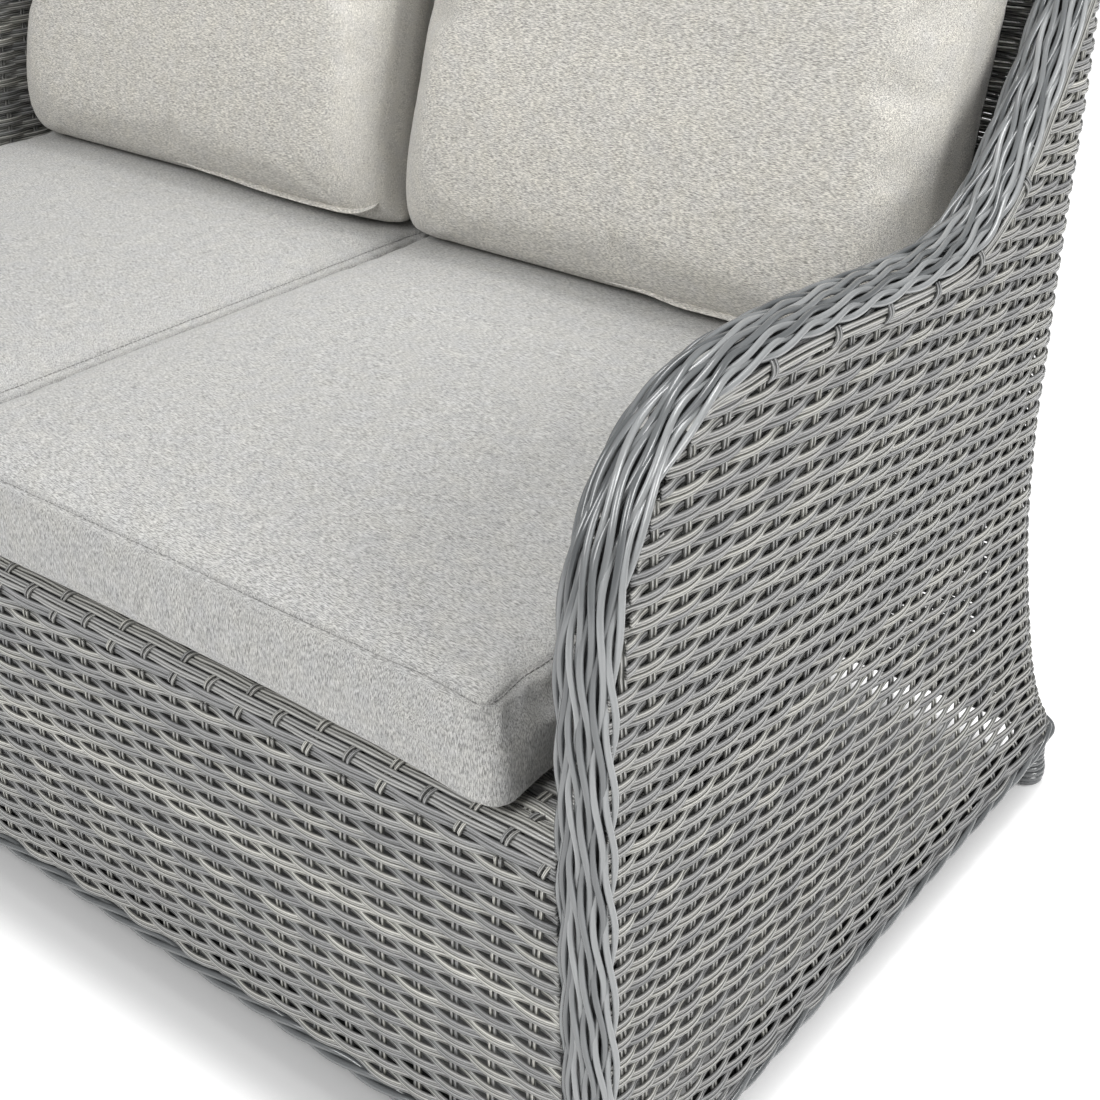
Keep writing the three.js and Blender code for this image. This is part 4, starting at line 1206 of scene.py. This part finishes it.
def seat_seam(name, cushion, mirror):
    """Stitches along the seam that joins the top of a seat pad to its sides."""
    surface = surface_of(cushion)
    half = SEAT_HALF[:2] + 20
    corners = np.array([(-1, -1), (1, -1), (1, 1), (-1, 1), (-1, -1)]) * half
    outline = resampled(corners, 1.2)
    core = np.clip(outline, SEAM_CORE - SEAT_HALF[:2], SEAT_HALF[:2] - SEAM_CORE)
    found, ways = [], []
    for start, end in zip(outline + SEAT_MID[:2], core + SEAT_MID[:2]):
        if mirror:
            start, end = start * (-1, 1), end * (-1, 1)
        height = SEAM_HEIGHT - SEAM_BELOW_EDGE
        way = Vector((*(end - start), 0)).normalized()
        place, normal, _, _ = surface.ray_cast(Vector((*start, height)) / METRE, way)
        if place is not None:
            found.append(np.array(place) * METRE)
            ways.append(np.array(normal))
    found, ways = np.array(found), np.array(ways)
    line = resampled(found, 0.6)
    run = along_line(line)
    out = np.stack([np.interp(run, along_line(found), ways[:, i]) for i in range(3)], -1)
    strands = Strands()
    for start in np.arange(0, run[-1], STITCH + STITCH_GAP):
        span = (run >= start) & (run <= start + STITCH)
        if span.sum() > 2:
            raised = line[span] + out[span] * 0.3
            plain_strand(strands, raised, out[span], THREAD_W, THREAD_T, rng.random())
    return strands.mesh(name, origin_y=0)


BACK_LEAN = math.atan2(float(back_y(800) - back_y(480)), 320.0)
BACK_SIZE = np.array([594.0, 130.0, 438.0])
BACK_LOW, BACK_HIGH = (np.array(corner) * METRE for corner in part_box("back_cushion_right"))
BACK_MID = (BACK_LOW + BACK_HIGH) / 2


def back_shape(u, v, w):
    """A pillow, full down to its lower front edge, in its own upright place."""
    half = BACK_SIZE / 2 - (2, 3, 2)
    full = smoothstep(-w, -0.4, 0.15) * (v < 0)
    lower = full * (1 - np.abs(w) ** 10) ** 0.5 + (1 - full) * (1 - np.abs(w) ** 4.5) ** 0.62
    ends = full * (1 - np.abs(u) ** 12) ** 0.5 + (1 - full) * (1 - np.abs(u) ** 6) ** 0.6
    thick = 0.10 + 0.90 * ends * lower
    belly = 1 + 0.09 * np.cos(np.pi * np.clip((w + 0.55) / 1.1, -0.5, 0.5))
    x = u * half[0] * (1 - 0.028 * (1 - w ** 2) * np.abs(u) ** 3)
    z = w * half[2] * (1 - 0.035 * (1 - u ** 2) * np.abs(w) ** 3 * (w > 0))
    z = z - 9 * smoothstep(-w, 0.5, 1) * np.clip(0.4 - v, 0, 1) * (1 - np.abs(u) ** 14)
    y = v * half[1] * thick * np.where(v < 0, belly, 1)
    return np.stack([x, y, z], -1)


back_base = blown((90, 22, 72), back_shape, 5.5, 9.0)


def leant(p):
    c, s = math.cos(BACK_LEAN), math.sin(BACK_LEAN)
    return np.stack([p[..., 0], p[..., 1] * c + p[..., 2] * s, p[..., 2] * c - p[..., 1] * s], -1) + BACK_MID


def back_cushion(name, mirror, seed):
    p = points_of(back_base) * METRE
    p[:, 1] += 2.2 * bumps(p, 46, seed) * smoothstep(-p[:, 1], 0, 30)
    corner = (np.abs(p[:, 0]) / 290) ** 6 * (np.abs(p[:, 2]) / 212) ** 6
    p[:, 1] *= 1 - 0.25 * np.clip(corner, 0, 1)
    p[:, 0] = np.clip(p[:, 0], -293.5, 293.5)
    return moulded(name, back_base, leant(p), mirror)


FLANGE_W = 11.0
FLANGE_T = 2.4
FLANGE_HALF = 276.0
FLANGE_POINTS = 140
LIP_ENDS = {"right": (-0.15, 0.25), "left": (0.2, -0.5)}


def back_flange(name, cushion, mirror, ends):
    """The stitched lip along the lower front edge of a back pillow, wavy and partly tucked under."""
    surface = surface_of(cushion)
    x = np.linspace(-FLANGE_HALF, FLANGE_HALF, FLANGE_POINTS)
    inner = leant(np.stack([x, 0 * x - 25, 0 * x - 175], -1))
    outer = leant(np.stack([x, 0 * x - 98, 0 * x - 340], -1))
    if mirror:
        inner, outer = inner * (-1, 1, 1), outer * (-1, 1, 1)
    line = np.array([
        np.array(surface.ray_cast(Vector(far) / METRE, Vector(near - far).normalized())[0])
        for near, far in zip(inner, outer)
    ]) * METRE
    line = eased(line, 15)
    shown = smoothstep(x / FLANGE_HALF, *ends)
    reach = FLANGE_W * (0.25 + 0.75 * shown)
    wave = 1.3 * np.sin(x / 19 + 1.4 * np.sin(x / 47))
    across = unit(np.stack([0 * x, 0 * x - 1, 0.12 * np.sin(x / 33) - 0.25], -1))
    out = np.stack([0 * x, across[:, 2], -across[:, 1]], -1)
    line = line + across * (reach / 2 - 2.5)[:, None] + out * (wave * shown + 0.8)[:, None]
    strands = Strands()
    strands.add(line, across, out, reach, FLANGE_T, 0.5, sides=10)
    return strands.mesh(name, origin_y=0)


for side, mirror in SIDES:
    body, pillow_body = f"seat_cushion_{side}", f"back_cushion_{side}"
    seat = seat_cushion(f"seat_pad_{side}", mirror, 11 + mirror)
    dress(seat, seat_fabric, "fabric", body, body)
    dress(seat_seam(f"seat_seam_{side}", seat, mirror), thread_material, "fabric", body)
    back = back_cushion(f"back_pillow_{side}", mirror, 21 + mirror)
    dress(back, back_fabric_painted_light, "fabric", pillow_body, pillow_body)
    lip = back_flange(f"pillow_lip_{side}", back, mirror, LIP_ENDS[side])
    dress(lip, back_fabric_painted_light, "fabric", pillow_body)


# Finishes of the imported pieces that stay

tube_finish = grained_material(
    "painted_tube", 900.0, (0.035, 0.036, 0.037), (0.055, 0.056, 0.058), 0.45, metallic=0.3, relief=0.0003)
rubber_finish = grained_material(
    "glide_rubber", 1500.0, (0.012, 0.012, 0.013), (0.026, 0.026, 0.028), 0.7)
for name, packed in frame["nodes"].items():
    packed.data.materials.clear()
    packed.data.materials.append(rubber_finish if "glide" in name else tube_finish)


# Floor, light and camera, in metres

FLOOR_HALF = 9.0
FLOOR_GLOW = 0.66
FOOTPRINT = (("X", 0.0, 0.65), ("Y", 0.035, 0.365))
WHITE = (1, 1, 1, 1)
WORLD_LIGHT = 0.27


def floor():
    """A pale floor, pure white to the eye round the sofa, that keeps the shadow beneath it, and whose own
    colour is darkened under the sofa as painted shade.
    """
    corners = np.array([(-1, -1, 0), (1, -1, 0), (1, 1, 0), (-1, 1, 0)]) * FLOOR_HALF * METRE
    made = mesh_object("floor", corners, [(0, 1, 2, 3)])
    material, tree, shader = blank("pale_floor")
    tree.nodes.remove(shader)
    where = node(tree, "ShaderNodeSeparateXYZ", {0: own_place(tree)})
    reach = []
    for axis, middle, limit in FOOTPRINT:
        from_middle = maths(tree, "ABSOLUTE", maths(tree, "ADD", where.outputs[axis], middle))
        reach.append(maths(tree, "SUBTRACT", from_middle, limit))
    beyond = maths(tree, "MAXIMUM", *reach)
    open_floor = ranged(tree, beyond, 0.0, 0.07, interpolation_type="SMOOTHSTEP")
    # Painted shade: the floor's colour falls from 0.88 to 0.42 under the sofa.
    tone = ranged(tree, beyond, -0.10, -0.01, 0.42, 0.88, interpolation_type="SMOOTHSTEP")
    matt = node(tree, "ShaderNodeBsdfDiffuse", {"Color": tone})
    glow = node(tree, "ShaderNodeEmission", {"Color": WHITE, "Strength": FLOOR_GLOW})
    both = node(tree, "ShaderNodeAddShader", {0: matt.outputs[0], 1: glow.outputs[0]})
    ray = node(tree, "ShaderNodeLightPath")
    seen = maths(tree, "MAXIMUM", ray.outputs["Is Camera Ray"], ray.outputs["Is Transmission Ray"])
    seen = maths(tree, "MAXIMUM", seen, ray.outputs["Is Glossy Ray"])
    shown = maths(tree, "MULTIPLY", seen, open_floor)
    pick = node(tree, "ShaderNodeMixShader", {0: shown, 1: matt.outputs[0], 2: both.outputs[0]})
    feed(tree.nodes["Material Output"], {"Surface": pick.outputs[0]})
    made.data.materials.append(material)


def world():
    """Soft white light from all round, in front of a pure white background."""
    made = bpy.data.worlds.new("studio")
    made.use_nodes = True
    tree = made.node_tree
    light = feed(tree.nodes["Background"], {"Color": WHITE, "Strength": WORLD_LIGHT})
    white = node(tree, "ShaderNodeBackground", {"Color": WHITE, "Strength": 1.0})
    seen = node(tree, "ShaderNodeLightPath").outputs["Is Camera Ray"]
    pick = node(tree, "ShaderNodeMixShader", {0: seen, 1: light.outputs[0], 2: white.outputs[0]})
    feed(tree.nodes["World Output"], {"Surface": pick.outputs[0]})
    bpy.context.scene.world = made


def aimed(made, place, direction):
    made.location = place
    made.rotation_euler = Vector(direction).to_track_quat("-Z", "Y").to_euler()


def area_light(name, place, aim, size, power):
    data = bpy.data.lights.new(name, "AREA")
    data.shape = "SQUARE"
    data.size = size
    data.energy = power
    aimed(placed(name, data), place, Vector(aim) - Vector(place))


def camera():
    data = bpy.data.cameras.new("camera")
    data.lens = CAMERA_LENS
    data.sensor_width = CAMERA_SENSOR
    made = placed("camera", data)
    aimed(made, CAMERA_PLACE, CAMERA_AIM)
    bpy.context.scene.camera = made


floor()
world()
camera()
area_light("key_light", (0.1, -2.9, 2.9), (0.3, 0, 0.4), 1.8, 90)
area_light("side_light", (3.2, -0.2, 2.1), (0.4, 0, 0.4), 1.3, 64)
area_light("top_light", (0.6, 0.8, 3.2), (0.3, 0, 0.4), 1.1, 38)
bpy.context.scene.view_settings.view_transform = "Standard"
